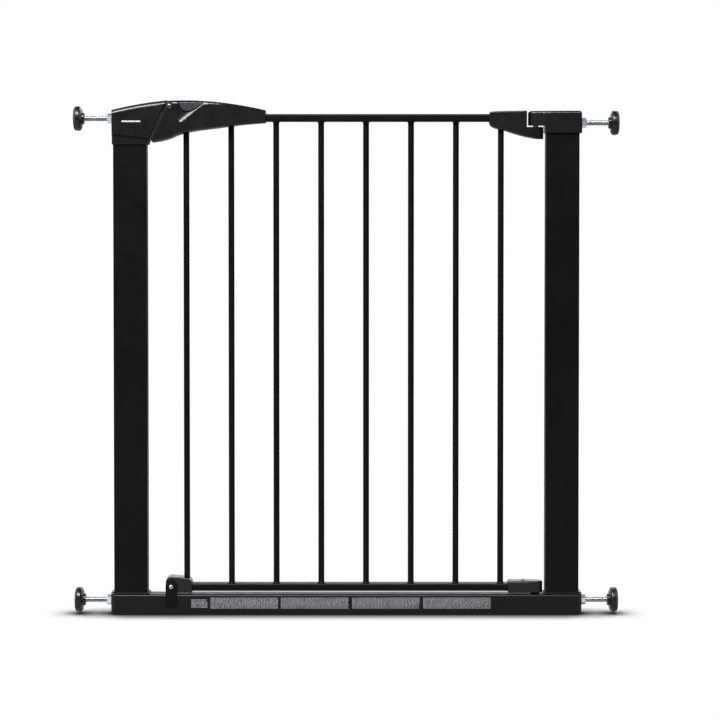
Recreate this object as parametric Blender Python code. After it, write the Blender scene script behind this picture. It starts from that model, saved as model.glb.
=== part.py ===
"""Pressure-fit safety gate: a U-shaped frame, a swing door, a pinch latch and four screw adjusters.

Metres, +Z up. X runs along the gate, the front is -Y, and the origin is the middle of the base
rail's underside. The door hangs on a vertical axis near the right post and opens to the rear.
"""
import math

import bmesh
import bpy

MM = 0.001
GAP = 0.3 * MM                  # between pieces that touch

# Overall sizes
FRAME_WIDTH = 680.6 * MM        # over the outer faces of the posts
OVERALL_HEIGHT = 752.6 * MM     # floor to the top of the latch head

# Tubes
POST_WIDTH = 49.0 * MM
POST_DEPTH = 25.0 * MM
BASE_HEIGHT = 30.0 * MM
BASE_DEPTH = 30.0 * MM
TUBE_WALL = 1.5 * MM
RAIL_HEIGHT = 11.0 * MM
RAIL_DEPTH = 20.0 * MM
RAIL_WALL = 1.2 * MM
BAR_DIAMETER = 9.0 * MM
BAR_WALL = 1.0 * MM
BAR_COUNT = 8
FOOT_PLATE = 1.7 * MM           # thickness

# Places that follow from the sizes above
LEFT_FACE = -FRAME_WIDTH / 2 + POST_WIDTH       # left post, door side
RIGHT_FACE = FRAME_WIDTH / 2 - POST_WIDTH       # right post, door side
RAIL_MIDDLE = OVERALL_HEIGHT - 25.1 * MM        # top rail, middle of its height
POST_TOP = RAIL_MIDDLE + 6.7 * MM
BOTTOM_RAIL_LOW = BASE_HEIGHT + 4.2 * MM
BOTTOM_RAIL_TOP = BOTTOM_RAIL_LOW + RAIL_HEIGHT

# Hinge
PIN_DIAMETER = 8.0 * MM
HINGE_RADIUS = 11.2 * MM        # round end of the hinge parts
HINGE_X = RIGHT_FACE - HINGE_RADIUS - 3.1 * MM
ARM_TOP = RAIL_MIDDLE - 13.3 * MM
ARM_LOW = RAIL_MIDDLE - 30.6 * MM
CAP_ARM_LOW = ARM_TOP + 2.4 * MM
CAP_TOP = RAIL_MIDDLE + 10.3 * MM
CAP_WALL = 2.7 * MM
HINGE_FACE = HINGE_X - HINGE_RADIUS - 2.2 * MM  # end of the door's hinge part beside the cap
CAP_ARM_RADIUS = HINGE_RADIUS + 0.1 * MM
CAP_SLEEVE_LOW = RAIL_MIDDLE - 22.1 * MM
SPRING_WIRE = 0.7 * MM          # half the closing spring's wire
SPRING_OUTER = PIN_DIAMETER / 2 + 2 * SPRING_WIRE + 0.8 * MM
SPRING_POCKET = 11.5 * MM       # depth below the arm's top

# Rails
TOP_RAIL_LOW = RAIL_MIDDLE - RAIL_HEIGHT / 2
TOP_RAIL_LEFT = LEFT_FACE + 49.0 * MM
TOP_RAIL_RIGHT = HINGE_FACE - 1.6 * MM
BOTTOM_RAIL_LEFT = LEFT_FACE + 33.6 * MM
BOTTOM_RAIL_RIGHT = HINGE_X - PIN_DIAMETER / 2 - 11.0 * MM
SHOE_HALF = RAIL_DEPTH / 2 + 2.0 * MM           # half depth of the mouldings on the rails
SHOE_LOW = BOTTOM_RAIL_LOW - GAP - 1.5 * MM
SHOE_SCREW_X = HINGE_X - 17.5 * MM

# Bars
FIRST_BAR_X = LEFT_FACE + 57.2 * MM
LAST_BAR_X = HINGE_X - 50.9 * MM
BAR_PITCH = (LAST_BAR_X - FIRST_BAR_X) / (BAR_COUNT - 1)

# Latch head, drawn from the left post's door-side face and the top rail's middle
HOUSING_HALF = POST_DEPTH / 2 + 4.5 * MM
SKIRT_HALF = POST_DEPTH / 2 + 2.1 * MM
HANDLE_HALF = 18.0 * MM
HANDLE_TIP_HALF = RAIL_DEPTH / 2 + 2.5 * MM
TAPER_START = 110.0 * MM        # where the handle's faces start to slant in to its tip
SHELL_WALL = 2.2 * MM
SPLIT = 0.15 * MM               # each shell stops this far from the parting plane
SLIT_LOW = (5.4 * MM, -30.9 * MM)
SLIT_TOP = (30.5 * MM, 25.0 * MM)
SLIT_HALF = 0.9 * MM
HANDLE_LENGTH = 173.7 * MM      # from the post's face to the handle's tip
BUTTON_LEFT = 48.2 * MM
BUTTON_RIGHT = 83.0 * MM
BUTTON_TOP = 22.3 * MM
BUTTON_LOW = 9.5 * MM
BUTTON_GAP = 0.5 * MM
BUTTON_THICKNESS = 3.4 * MM
BUTTON_TRAVEL = 4.5 * MM
BOLT_RATIO = 2.0                # bolt travel for each unit of button travel
BOLT_HALF = 5.0 * MM
BOLT_LOW = 8.6 * MM
BOLT_TOP = 20.2 * MM
BOLT_TIP = 14.3 * MM
BOLT_TAIL = 77.0 * MM
WEDGE_LEFT = 54.3 * MM          # the buttons' wedges lie between these
WEDGE_RIGHT = 63.3 * MM
WEDGE_DEEP = 2.2 * MM           # half thickness of the bolt where the wedges start
SPRING_SEAT = 93.0 * MM
PLUG_CENTRE = (RAIL_MIDDLE + 16.4 * MM, LEFT_FACE + 34.6 * MM)     # small dome beside the slit, (Z, X)

# Shell screws
SCREW_RADIUS = 1.5 * MM
SCREW_HEAD_RADIUS = 2.75 * MM
SCREW_SEAT_DEPTH = 1.4 * MM
SCREW_SEAT_RADIUS = 3.1 * MM
BOSS_RADIUS = 4.0 * MM
HOUSING_SCREW = (LEFT_FACE + 5.9 * MM, RAIL_MIDDLE - 11.5 * MM)
HANDLE_SCREWS = ((LEFT_FACE + 29.5 * MM, RAIL_MIDDLE - 15.5 * MM),
                 (LEFT_FACE + 103.5 * MM, RAIL_MIDDLE + 13.4 * MM))

# Wall adjusters
SPINDLE_DIAMETER = 8.0 * MM
SPINDLE_LENGTH = 79.0 * MM
SPINDLE_PROUD = 50.7 * MM       # outer end, beyond the posts' outer faces
NUT_ACROSS_FLATS = 13.0 * MM
NUT_THICKNESS = 6.8 * MM
PAD_DIAMETER = 36.8 * MM
PAD_THICKNESS = 8.4 * MM
PAD_HUB_DIAMETER = 17.0 * MM
PAD_HUB_LENGTH = 3.2 * MM
PAD_FACE_THICKNESS = 3.0 * MM
BUSH_WALL = 1.7 * MM
BUSH_RADIUS = SPINDLE_DIAMETER / 2 + GAP + BUSH_WALL
BOTTOM_SPINDLE_Z = 20.5 * MM
TOP_LEFT_SPINDLE_Z = RAIL_MIDDLE - 0.7 * MM
TOP_RIGHT_SPINDLE_Z = RAIL_MIDDLE - 7.0 * MM
END_CAP_FLANGE = 3.9 * MM
CAP_SIDE = 3.1 * MM             # hinge cap's outer wall
HOUSING_SIDE = 1.4 * MM         # latch housing's outer wall

ROUND = 16                      # sides of a round piece

MATERIALS = {
    "powder_coat": ((0.018, 0.017, 0.017), 0.42, 0.0),
    "black_plastic": ((0.020, 0.020, 0.023), 0.38, 0.0),
    "zinc_steel": ((0.72, 0.75, 0.78), 0.30, 1.0),
    "rubber": ((0.022, 0.021, 0.021), 0.75, 0.0),
    "spring_steel": ((0.42, 0.42, 0.43), 0.35, 1.0),
}


def clear_scene():
    for item in list(bpy.data.objects):
        bpy.data.objects.remove(item, do_unlink=True)


def material(name):
    """A Principled material, made once and shared by the pieces of one finish."""
    if name in bpy.data.materials:
        return bpy.data.materials[name]
    colour, roughness, metallic = MATERIALS[name]
    made = bpy.data.materials.new(name)
    made.use_nodes = True
    shader = made.node_tree.nodes["Principled BSDF"]
    shader.inputs["Base Color"].default_value = (*colour, 1.0)
    shader.inputs["Roughness"].default_value = roughness
    shader.inputs["Metallic"].default_value = metallic
    return made


# ---------------------------------------------------------------- outlines

def arc(centre, radius, start, end, steps):
    """Points on a circle, angles in degrees."""
    angles = [math.radians(start + (end - start) * i / steps) for i in range(steps + 1)]
    return [(centre[0] + radius * math.cos(a), centre[1] + radius * math.sin(a)) for a in angles]


def arc_through(first, middle, last, steps):
    """Points on the circle through three points, from the first to the last."""
    (ax, ay), (bx, by), (cx, cy) = first, middle, last
    d = 2 * (ax * (by - cy) + bx * (cy - ay) + cx * (ay - by))
    a2, b2, c2 = ax * ax + ay * ay, bx * bx + by * by, cx * cx + cy * cy
    ox = (a2 * (by - cy) + b2 * (cy - ay) + c2 * (ay - by)) / d
    oy = (a2 * (cx - bx) + b2 * (ax - cx) + c2 * (bx - ax)) / d
    start = math.atan2(ay - oy, ax - ox)
    turn = math.atan2(cy - oy, cx - ox) - start
    middle_turn = (math.atan2(by - oy, bx - ox) - start) % math.tau
    turn %= math.tau
    if middle_turn > turn:
        turn -= math.tau
    radius = math.hypot(ax - ox, ay - oy)
    return arc((ox, oy), radius, math.degrees(start), math.degrees(start + turn), steps)


def smooth_curve(knots, steps):
    """A curve through the knots (Catmull-Rom), with this many steps between two knots."""
    ends = [knots[0], *knots, knots[-1]]
    points = []
    for i in range(1, len(ends) - 2):
        p0, p1, p2, p3 = ends[i - 1:i + 3]
        for k in range(steps):
            t = k / steps
            points.append(tuple(
                0.5 * (2 * b + (c - a) * t + (2 * a - 5 * b + 4 * c - d) * t * t
                       + (3 * b - a - 3 * c + d) * t ** 3)
                for a, b, c, d in zip(p0, p1, p2, p3)))
    return [*points, knots[-1]]


def rounded_rectangle(width, height, radius, steps=3, centre=(0.0, 0.0)):
    points = []
    for sx, sy, start in ((1, 1, 0), (-1, 1, 90), (-1, -1, 180), (1, -1, 270)):
        corner = (centre[0] + sx * (width / 2 - radius), centre[1] + sy * (height / 2 - radius))
        points += arc(corner, radius, start, start + 90, steps)
    return points


def counter_clockwise(outline):
    area = sum(x0 * y1 - x1 * y0 for (x0, y0), (x1, y1) in zip(outline, outline[1:] + outline[:1]))
    return outline if area > 0 else outline[::-1]


def inset(outline, distance):
    """The counter-clockwise outline moved inwards, corner by corner."""
    moved = []
    count = len(outline)
    for i, (x, y) in enumerate(outline):
        before, after = outline[i - 1], outline[(i + 1) % count]
        normals = []
        for (x0, y0), (x1, y1) in ((before, (x, y)), ((x, y), after)):
            length = math.hypot(x1 - x0, y1 - y0)
            normals.append(((y0 - y1) / length, (x1 - x0) / length))
        (nx0, ny0), (nx1, ny1) = normals
        scale = distance / max(0.35, 1 + nx0 * nx1 + ny0 * ny1)
        moved.append((x + (nx0 + nx1) * scale, y + (ny0 + ny1) * scale))
    return moved


def shifted(outline, dx, dy):
    return [(x + dx, y + dy) for x, y in outline]


# ---------------------------------------------------------------- solids

def add_object(name, bm, finish=None):
    """Closes the mesh's orientation and adds it; without a finish it is a cutter."""
    bmesh.ops.recalc_face_normals(bm, faces=bm.faces)
    mesh = bpy.data.meshes.new(name)
    bm.to_mesh(mesh)
    bm.free()
    mesh.shade_smooth()
    mesh.set_sharp_from_angle(angle=math.radians(32))
    made = bpy.data.objects.new(name, mesh)
    bpy.context.collection.objects.link(made)
    if finish:
        mesh.materials.append(material(finish))
    else:
        made.hide_render = True
        made.display_type = "WIRE"
    return made


def loft(name, rings, finish=None, closed=False):
    """A solid through rings of equal count. Closed, the last ring joins the first; else ends are capped."""
    bm = bmesh.new()
    loops = [[bm.verts.new(p) for p in ring] for ring in rings]
    pairs = list(zip(loops, loops[1:]))
    if closed:
        pairs.append((loops[-1], loops[0]))
    else:
        bm.faces.new(loops[0])
        bm.faces.new(loops[-1])
    for one, other in pairs:
        for i in range(len(one)):
            j = (i + 1) % len(one)
            bm.faces.new((one[i], one[j], other[j], other[i]))
    return add_object(name, bm, finish)


def point(axis, along, a, b):
    """A point at this distance along an axis, with the other two coordinates in cyclic order."""
    return {"X": (along, a, b), "Y": (b, along, a), "Z": (a, b, along)}[axis]


def turned(name, axis, centre, profile, finish=None, closed=False, sides=ROUND):
    """A turned solid. The profile is (radius, along) pairs; closed, it is a ring round a bore."""
    rings = []
    for radius, along in profile:
        ring = []
        for i in range(sides):
            angle = math.tau * (i + 0.5) / sides
            ring.append(point(axis, along, centre[0] + radius * math.cos(angle),
                              centre[1] + radius * math.sin(angle)))
        rings.append(ring)
    return loft(name, rings, finish, closed)


def box(name, low, high, finish=None):
    ring = [(low[0], low[1]), (high[0], low[1]), (high[0], high[1]), (low[0], high[1])]
    return loft(name, [[(x, y, z) for x, y in ring] for z in (low[2], high[2])], finish)


def plate_xz(name, outline, y0, y1, finish=None):
    """An outline drawn in X and Z, given a thickness in Y."""
    return loft(name, [[(x, y, z) for x, z in outline] for y in (y0, y1)], finish)


def tube(name, axis, centre, size, wall, radius, ends, finish):
    """An open rectangular tube along an axis. Size is across, in the axis's cyclic order."""
    outer = rounded_rectangle(*size, radius, centre=centre)
    inner = rounded_rectangle(size[0] - 2 * wall, size[1] - 2 * wall, max(radius - wall, 0.4 * MM),
                              centre=centre)
    rings = [[point(axis, along, a, b) for a, b in outline]
             for outline, along in ((outer, ends[0]), (outer, ends[1]), (inner, ends[1]), (inner, ends[0]))]
    return loft(name, rings, finish, closed=True)


def cylinder(name, axis, centre, radius, ends, finish=None, sides=ROUND):
    return turned(name, axis, centre, [(radius, ends[0]), (radius, ends[1])], finish, sides=sides)


def combine(target, other, operation):
    step = target.modifiers.new(f"{operation.lower()}_{other.name}", "BOOLEAN")
    step.operation = operation
    step.solver = "EXACT"
    step.object = other
    other.hide_render = True
    other.display_type = "WIRE"


def cut(target, *cutters):
    for cutter in cutters:
        combine(target, cutter, "DIFFERENCE")


def add(target, *others):
    for other in others:
        combine(target, other, "UNION")


def keep_inside(target, other):
    combine(target, other, "INTERSECT")


def half_shell(name, outline, side, half_depth, radius, back, finish=None, steps=3):
    """Half of a rounded casing: an outline in X and Z, with a rounded rim round its flat face."""
    rings = []
    for k in range(steps + 1):
        angle = math.pi / 2 * k / steps
        inward = radius * (1 - math.sin(angle))
        rise = radius * (1 - math.cos(angle))
        rings.append([(x, side * (half_depth - rise), z) for x, z in inset(outline, inward)])
    rings.append([(x, back, z) for x, z in outline])
    return loft(name, rings, finish)


def coil(name, axis, centre, radius, wire, ends, turns, finish, steps=10, sides=4):
    """A helical spring between two places along an axis."""
    rings = []
    total = turns * steps
    for i in range(total + 1):
        angle = math.tau * i / steps
        along = ends[0] + wire + (ends[1] - ends[0] - 2 * wire) * i / total
        ring = []
        for k in range(sides):
            around = math.tau * k / sides
            out = radius + wire * math.cos(around)
            ring.append(point(axis, along + wire * math.sin(around), centre[0] + out * math.cos(angle),
                              centre[1] + out * math.sin(angle)))
        rings.append(ring)
    return loft(name, rings, finish)


# ---------------------------------------------------------------- frame

def frame_tubes():
    half = FRAME_WIDTH / 2
    base = tube("base_rail", "X", (0.0, BASE_HEIGHT / 2), (BASE_DEPTH, BASE_HEIGHT), TUBE_WALL, 3 * MM,
                (-half, half), "powder_coat")
    cut(base, cylinder("pin_hole", "Z", (HINGE_X, 0.0), PIN_DIAMETER / 2 + GAP,
                       (BASE_HEIGHT - 2 * TUBE_WALL, BASE_HEIGHT + TUBE_WALL)))
    spindle_z = {"left": TOP_LEFT_SPINDLE_Z, "right": TOP_RIGHT_SPINDLE_Z}
    for name, side in (("left", -1), ("right", 1)):
        middle = side * (half - POST_WIDTH / 2)
        low = BASE_HEIGHT + FOOT_PLATE + 2 * GAP
        post = tube(f"{name}_post", "Z", (middle, 0.0), (POST_WIDTH, POST_DEPTH), TUBE_WALL, 2 * MM,
                    (low, POST_TOP), "powder_coat")
        ends = sorted((side * (half - 3 * TUBE_WALL), side * (half + TUBE_WALL)))
        cut(post, cylinder(f"{name}_bush_hole", "X", (0.0, spindle_z[name]), BUSH_RADIUS + GAP, ends))
        inner = abs(middle) - POST_WIDTH / 2 - 3 * MM
        x0, x1 = sorted((side * inner, side * half))
        plate = rounded_rectangle(x1 - x0, BASE_DEPTH - 2 * MM, 2 * MM, centre=((x0 + x1) / 2, 0.0))
        z = BASE_HEIGHT + GAP
        loft(f"{name}_foot_plate", [[(x, y, h) for x, y in plate] for h in (z, z + FOOT_PLATE)],
             "powder_coat")


def end_caps():
    """A flanged plug in each end of the base rail, bored for the lower spindle."""
    half = FRAME_WIDTH / 2
    top = BASE_HEIGHT + 3.6 * MM
    low = 3.2 * MM
    for name, side in (("left", -1), ("right", 1)):
        flange = rounded_rectangle(BASE_DEPTH - 1 * MM, top - low, 4 * MM, centre=(0.0, (top + low) / 2))
        start = half + GAP
        sections = [(start, 0.0), (start + END_CAP_FLANGE - 1 * MM, 0.0), (start + END_CAP_FLANGE, 1 * MM)]
        cap = loft(f"{name}_end_cap", [[(side * x, y, z) for y, z in inset(flange, shrink)]
                                       for x, shrink in sections], "black_plastic")
        hollow = BASE_HEIGHT - 2 * TUBE_WALL - 2 * GAP
        plug = rounded_rectangle(BASE_DEPTH - 2 * TUBE_WALL - 2 * GAP, hollow, 1.5 * MM,
                                 centre=(0.0, BASE_HEIGHT / 2))
        add(cap, loft(f"{name}_plug", [[(side * x, y, z) for y, z in plug]
                                       for x in (half - 16 * MM, start + 1 * MM)]))
        ends = sorted((side * (half - 20 * MM), side * (half + 10 * MM)))
        cut(cap, cylinder(f"{name}_cap_bore", "X", (0.0, BOTTOM_SPINDLE_Z), SPINDLE_DIAMETER / 2 + GAP, ends))


def door_stop():
    """The steel ear on the base rail, its rivet, and the rubber block that the door closes against."""
    x = LEFT_FACE + 34.9 * MM
    width = 16.5 * MM
    thickness = 2.0 * MM
    low, top = 13.0 * MM, BASE_HEIGHT + 20.5 * MM
    rivet_z = BASE_HEIGHT + 11.6 * MM
    rivet_radius = 1.6 * MM
    back = -BASE_DEPTH / 2 - GAP
    outline = [(x - width / 2, low), (x + width / 2, low)]
    outline += arc((x, top - width / 2), width / 2, 0, 180, 12)
    ear = plate_xz("stop_bracket", outline, back - thickness, back, "powder_coat")
    hole = (-BASE_DEPTH, 0.0)
    cut(ear, cylinder("ear_hole", "Y", (rivet_z, x), rivet_radius + GAP, hole, sides=12))
    pad = rounded_rectangle(width - 3 * MM, 13 * MM, 2 * MM, centre=(x, rivet_z))
    inner = -SHOE_HALF - GAP
    pad = plate_xz("stop_buffer", pad, back + GAP, inner, "rubber")
    cut(pad, cylinder("buffer_hole", "Y", (rivet_z, x), rivet_radius + GAP, hole, sides=12))
    face = back - thickness - GAP
    profile = [(rivet_radius, inner - 0.5 * MM), (rivet_radius, face), (3.3 * MM, face),
               (3.2 * MM, face - 0.7 * MM), (2.3 * MM, face - 1.5 * MM), (0.8 * MM, face - 1.9 * MM)]
    turned("stop_rivet", "Y", (rivet_z, x), profile, "zinc_steel")


def hinge_pins():
    radius = PIN_DIAMETER / 2
    turned("upper_hinge_pin", "Z", (HINGE_X, 0.0),
           [(radius - 0.6 * MM, ARM_LOW + 4 * MM), (radius, ARM_LOW + 4.6 * MM),
            (radius, CAP_TOP - CAP_WALL - 2 * GAP)], "zinc_steel")
    collar = BASE_HEIGHT + GAP
    turned("lower_hinge_pin", "Z", (HINGE_X, 0.0),
           [(radius, BASE_HEIGHT - 8 * MM), (radius, collar), (radius + 3 * MM, collar),
            (radius + 3 * MM, collar + 1.4 * MM), (radius, collar + 1.4 * MM),
            (radius, BOTTOM_RAIL_TOP - 1.6 * MM), (radius - 0.6 * MM, BOTTOM_RAIL_TOP - 1 * MM)],
           "zinc_steel")


def hinge_cap():
    """The cap pressed over the right post, with the arm that carries the upper pin."""
    half = FRAME_WIDTH / 2
    outer = half + CAP_SIDE + GAP
    depth = POST_DEPTH / 2 + GAP + CAP_WALL
    start = RIGHT_FACE - GAP - 1.4 * MM
    edge = 3 * MM
    plan = [*arc((HINGE_X, 0.0), CAP_ARM_RADIUS, 90, 270, 12),
            (start - 1 * MM, -CAP_ARM_RADIUS), (start + 4.5 * MM, -depth),
            *arc((outer - edge, -depth + edge), edge, 270, 360, 3),
            *arc((outer - edge, depth - edge), edge, 0, 90, 3),
            (start + 4.5 * MM, depth), (start - 1 * MM, CAP_ARM_RADIUS)]
    plan = counter_clockwise(plan)
    sections = [(0.0, CAP_ARM_LOW), (0.0, CAP_TOP - edge), (0.3 * edge, CAP_TOP - 0.4 * edge),
                (edge * 0.8, CAP_TOP)]
    cap = loft("hinge_cap", [[(x, y, z) for x, y in inset(plan, shrink)] for shrink, z in sections],
               "black_plastic")
    sleeve = rounded_rectangle(outer - start, 2 * depth, 1.2 * MM, centre=((outer + start) / 2, 0.0))
    add(cap, loft("cap_sleeve", [[(x, y, z) for x, y in sleeve]
                                 for z in (CAP_SLEEVE_LOW, CAP_ARM_LOW + 6 * MM)]))
    pocket = POST_DEPTH / 2 + GAP
    cut(cap,
        box("cap_pocket", (RIGHT_FACE - GAP, -pocket, CAP_SLEEVE_LOW - 5 * MM),
            (half + GAP, pocket, POST_TOP + GAP)),
        cylinder("cap_pin_hole", "Z", (HINGE_X, 0.0), PIN_DIAMETER / 2 + GAP,
                 (CAP_ARM_LOW - 5 * MM, CAP_TOP - CAP_WALL)),
        cylinder("cap_bush_hole", "X", (0.0, TOP_RIGHT_SPINDLE_Z), BUSH_RADIUS + GAP,
                 (half - 5 * MM, outer + 5 * MM)))


# ---------------------------------------------------------------- latch head

def latch_outline(points):
    """Points drawn from the left post's face and the top rail's middle, in world X and Z."""
    return counter_clockwise(shifted(points, LEFT_FACE, RAIL_MIDDLE))


def slit_edge(side):
    """The slit's low and top points, moved to the housing's side (-1) or the handle's side (1)."""
    dx, dz = SLIT_TOP[0] - SLIT_LOW[0], SLIT_TOP[1] - SLIT_LOW[1]
    length = math.hypot(dx, dz)
    nx, nz = side * SLIT_HALF * dz / length, -side * SLIT_HALF * dx / length
    return (SLIT_LOW[0] + nx, SLIT_LOW[1] + nz), (SLIT_TOP[0] + nx, SLIT_TOP[1] + nz)


def housing_outline():
    low, top = slit_edge(-1)
    left = -POST_WIDTH - HOUSING_SIDE - GAP
    crown = arc_through((left, 11.5 * MM), ((left + top[0]) / 2, 20.0 * MM), top, 8)
    return latch_outline([(left, -24.1 * MM), low, *reversed(crown)])


def skirt_outline():
    left = -POST_WIDTH - HOUSING_SIDE - GAP + 0.3 * MM
    return latch_outline([(left, -39 * MM), (1.7 * MM, -39 * MM), (4.3 * MM, -32.5 * MM),
                          (4.3 * MM, -27 * MM), (left, -22 * MM)])


def handle_outline():
    low, top = slit_edge(1)
    tip = HANDLE_LENGTH
    tip_low = -RAIL_HEIGHT / 2 - GAP - 1.4 * MM
    crown = arc_through(top, ((top[0] + tip) / 2, 23.0 * MM), (tip, 10.8 * MM), 12)
    underside = smooth_curve([(low[0] + 2.2 * MM, low[1] - 4.3 * MM), (22 * MM, -33.2 * MM),
                              (34 * MM, -29.8 * MM), (46.6 * MM, -24.4 * MM), (68.6 * MM, -19.2 * MM),
                              (105 * MM, -14.4 * MM), (140 * MM, -9.8 * MM), (tip, tip_low)], 3)
    return latch_outline([low, *underside, *reversed(crown)])


def button_outline():
    middle = ((BUTTON_LEFT + BUTTON_RIGHT) / 2, BUTTON_LOW)
    return latch_outline(arc_through((BUTTON_LEFT, BUTTON_TOP), middle, (BUTTON_RIGHT, BUTTON_TOP), 12))


def scoop_outline():
    """The finger recess round a button: a steep left wall and a slanted ridge at the right."""
    left = BUTTON_LEFT - 2.2 * MM
    right = BUTTON_RIGHT + 3.6 * MM
    return latch_outline([(left, BUTTON_TOP - 0.3 * MM), (left, -6.6 * MM), (left + 1.5 * MM, -7.6 * MM),
                          (left + 4.6 * MM, -7.4 * MM), (right, BUTTON_TOP - 0.3 * MM)])


def taper_cutter(name, side, inward):
    """What the handle loses towards its tip, where its face slants in to the rail."""
    start, end = LEFT_FACE + TAPER_START, LEFT_FACE + HANDLE_LENGTH
    slope = (HANDLE_TIP_HALF - HANDLE_HALF) / (end - start)
    reach = 10 * MM
    plan = [(start, HANDLE_HALF - inward), (end + reach, HANDLE_TIP_HALF - inward + slope * reach),
            (end + reach, HANDLE_HALF + reach), (start, HANDLE_HALF + reach)]
    return loft(name, [[(x, side * y, z) for x, y in plan]
                       for z in (RAIL_MIDDLE - 40 * MM, RAIL_MIDDLE + 40 * MM)])


def rail_cutter(name, x0, x1, low):
    reach = RAIL_DEPTH / 2 + GAP
    return box(name, (x0, -reach, low - GAP), (x1, reach, low + RAIL_HEIGHT + GAP))


def bar_cutter(name, index, low, top):
    x = FIRST_BAR_X + BAR_PITCH * index
    return cylinder(name, "Z", (x, 0.0), BAR_DIAMETER / 2 + GAP, (low, top))


def bolt_window(name, x0, x1):
    reach = BOLT_HALF + GAP
    return box(name, (LEFT_FACE + x0, -reach, RAIL_MIDDLE + BOLT_LOW - GAP),
               (LEFT_FACE + x1, reach, RAIL_MIDDLE + BOLT_TOP + GAP))


def screw_boss(shell, side, x, z, depth):
    """A boss inside a shell, bored for the screw; the rear one is counterbored for its head."""
    end = side * (depth - 0.6 * MM)
    ends = sorted((end, side * SPLIT))
    add(shell, cylinder(f"{shell.name}_boss_{x:.3f}", "Y", (z, x), BOSS_RADIUS, ends, sides=14))
    reach = sorted((side * (depth - 5 * MM), -side * MM)) if side < 0 else (-MM, depth + MM)
    cut(shell, cylinder(f"{shell.name}_bore_{x:.3f}", "Y", (z, x), SCREW_RADIUS + GAP, reach, sides=12))
    if side > 0:
        cut(shell, cylinder(f"{shell.name}_seat_{x:.3f}", "Y", (z, x), SCREW_SEAT_RADIUS,
                            (depth - SCREW_SEAT_DEPTH, depth + 3 * MM)))


def shell_screw(name, x, z, depth):
    """A pan-head screw from the rear, its head in the rear shell's counterbore."""
    seat = depth - SCREW_SEAT_DEPTH + GAP
    profile = [(SCREW_RADIUS, -depth + 6 * MM), (SCREW_RADIUS, seat), (SCREW_HEAD_RADIUS, seat),
               (SCREW_HEAD_RADIUS, seat + 0.9 * MM), (1.9 * MM, seat + 1.5 * MM)]
    turned(name, "Y", (z, x), profile, "zinc_steel", sides=12)


def latch_housing():
    outline = housing_outline()
    skirt = skirt_outline()
    half = FRAME_WIDTH / 2
    pocket = POST_DEPTH / 2 + GAP
    for name, side in (("front", -1), ("rear", 1)):
        back = side * SPLIT
        shell = half_shell(f"latch_housing_{name}", outline, side, HOUSING_HALF, 3.5 * MM, back,
                           "black_plastic")
        add(shell, half_shell(f"skirt_{name}", skirt, side, SKIRT_HALF, 0.8 * MM, back, steps=1))
        cut(shell,
            half_shell(f"housing_hollow_{name}", inset(outline, SHELL_WALL), side,
                       HOUSING_HALF - SHELL_WALL, 1.5 * MM, -side * MM, steps=1),
            box(f"housing_pocket_{name}", (-half - GAP, -pocket, RAIL_MIDDLE - 60 * MM),
                (LEFT_FACE + GAP, pocket, POST_TOP + GAP)),
            cylinder(f"housing_bush_hole_{name}", "X", (0.0, TOP_LEFT_SPINDLE_Z), BUSH_RADIUS + GAP,
                     (-half - 10 * MM, -half + 5 * MM)),
            bolt_window(f"housing_window_{name}", 10 * MM, SLIT_TOP[0]))
        screw_boss(shell, side, *HOUSING_SCREW, HOUSING_HALF)
    shell_screw("latch_housing_screw", *HOUSING_SCREW, HOUSING_HALF)


def handle():
    outline = handle_outline()
    for name, side in (("front", -1), ("rear", 1)):
        shell = half_shell(f"handle_{name}", outline, side, HANDLE_HALF, 3.5 * MM, side * SPLIT,
                           "black_plastic")
        hollow = half_shell(f"handle_hollow_{name}", inset(outline, SHELL_WALL), side,
                            HANDLE_HALF - SHELL_WALL, 1.5 * MM, -side * MM, steps=1)
        cut(hollow, taper_cutter(f"hollow_taper_{name}", side, SHELL_WALL))
        button_hole = inset(button_outline(), -BUTTON_GAP)
        depth = sorted((side * 8 * MM, side * (HANDLE_HALF + 3 * MM)))
        scoop_depth = sorted((side * (HANDLE_HALF - 1.4 * MM), side * (HANDLE_HALF + 3 * MM)))
        cut(shell, taper_cutter(f"taper_{name}", side, 0.0), hollow,
            plate_xz(f"button_hole_{name}", button_hole, *depth),
            plate_xz(f"scoop_{name}", scoop_outline(), *scoop_depth),
            rail_cutter(f"handle_rail_{name}", LEFT_FACE + 120 * MM, LEFT_FACE + HANDLE_LENGTH + 5 * MM,
                        TOP_RAIL_LOW),
            bolt_window(f"handle_window_{name}", SLIT_LOW[0], SLIT_TOP[0] + 8 * MM),
            bar_cutter(f"handle_bar_1_{name}", 0, TOP_RAIL_LOW - 30 * MM, TOP_RAIL_LOW),
            bar_cutter(f"handle_bar_2_{name}", 1, TOP_RAIL_LOW - 30 * MM, TOP_RAIL_LOW))
        for x, z in HANDLE_SCREWS:
            screw_boss(shell, side, x, z, HANDLE_HALF)
        if side < 0:
            seat = (LEFT_FACE + SPRING_SEAT, -HANDLE_HALF + 1.2 * MM, RAIL_MIDDLE + BOLT_LOW)
            add(shell, box("spring_seat", seat, (seat[0] + 2 * MM, -SPLIT, RAIL_MIDDLE + BOLT_TOP)))
            ends = (-HANDLE_HALF - MM, -HANDLE_HALF + 4 * MM)
            cut(shell, cylinder("plug_hole", "Y", PLUG_CENTRE, 2.8 * MM, ends))
    for i, (x, z) in enumerate(HANDLE_SCREWS):
        shell_screw(f"handle_screw_{i + 1}", x, z, HANDLE_HALF)
    face = -HANDLE_HALF - GAP
    turned("handle_plug", "Y", PLUG_CENTRE,
           [(2.4 * MM, face + 3.4 * MM), (2.4 * MM, face), (4.5 * MM, face), (4.2 * MM, face - 1.0 * MM),
            (3.0 * MM, face - 2.0 * MM), (1.1 * MM, face - 2.5 * MM)], "black_plastic")


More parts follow.
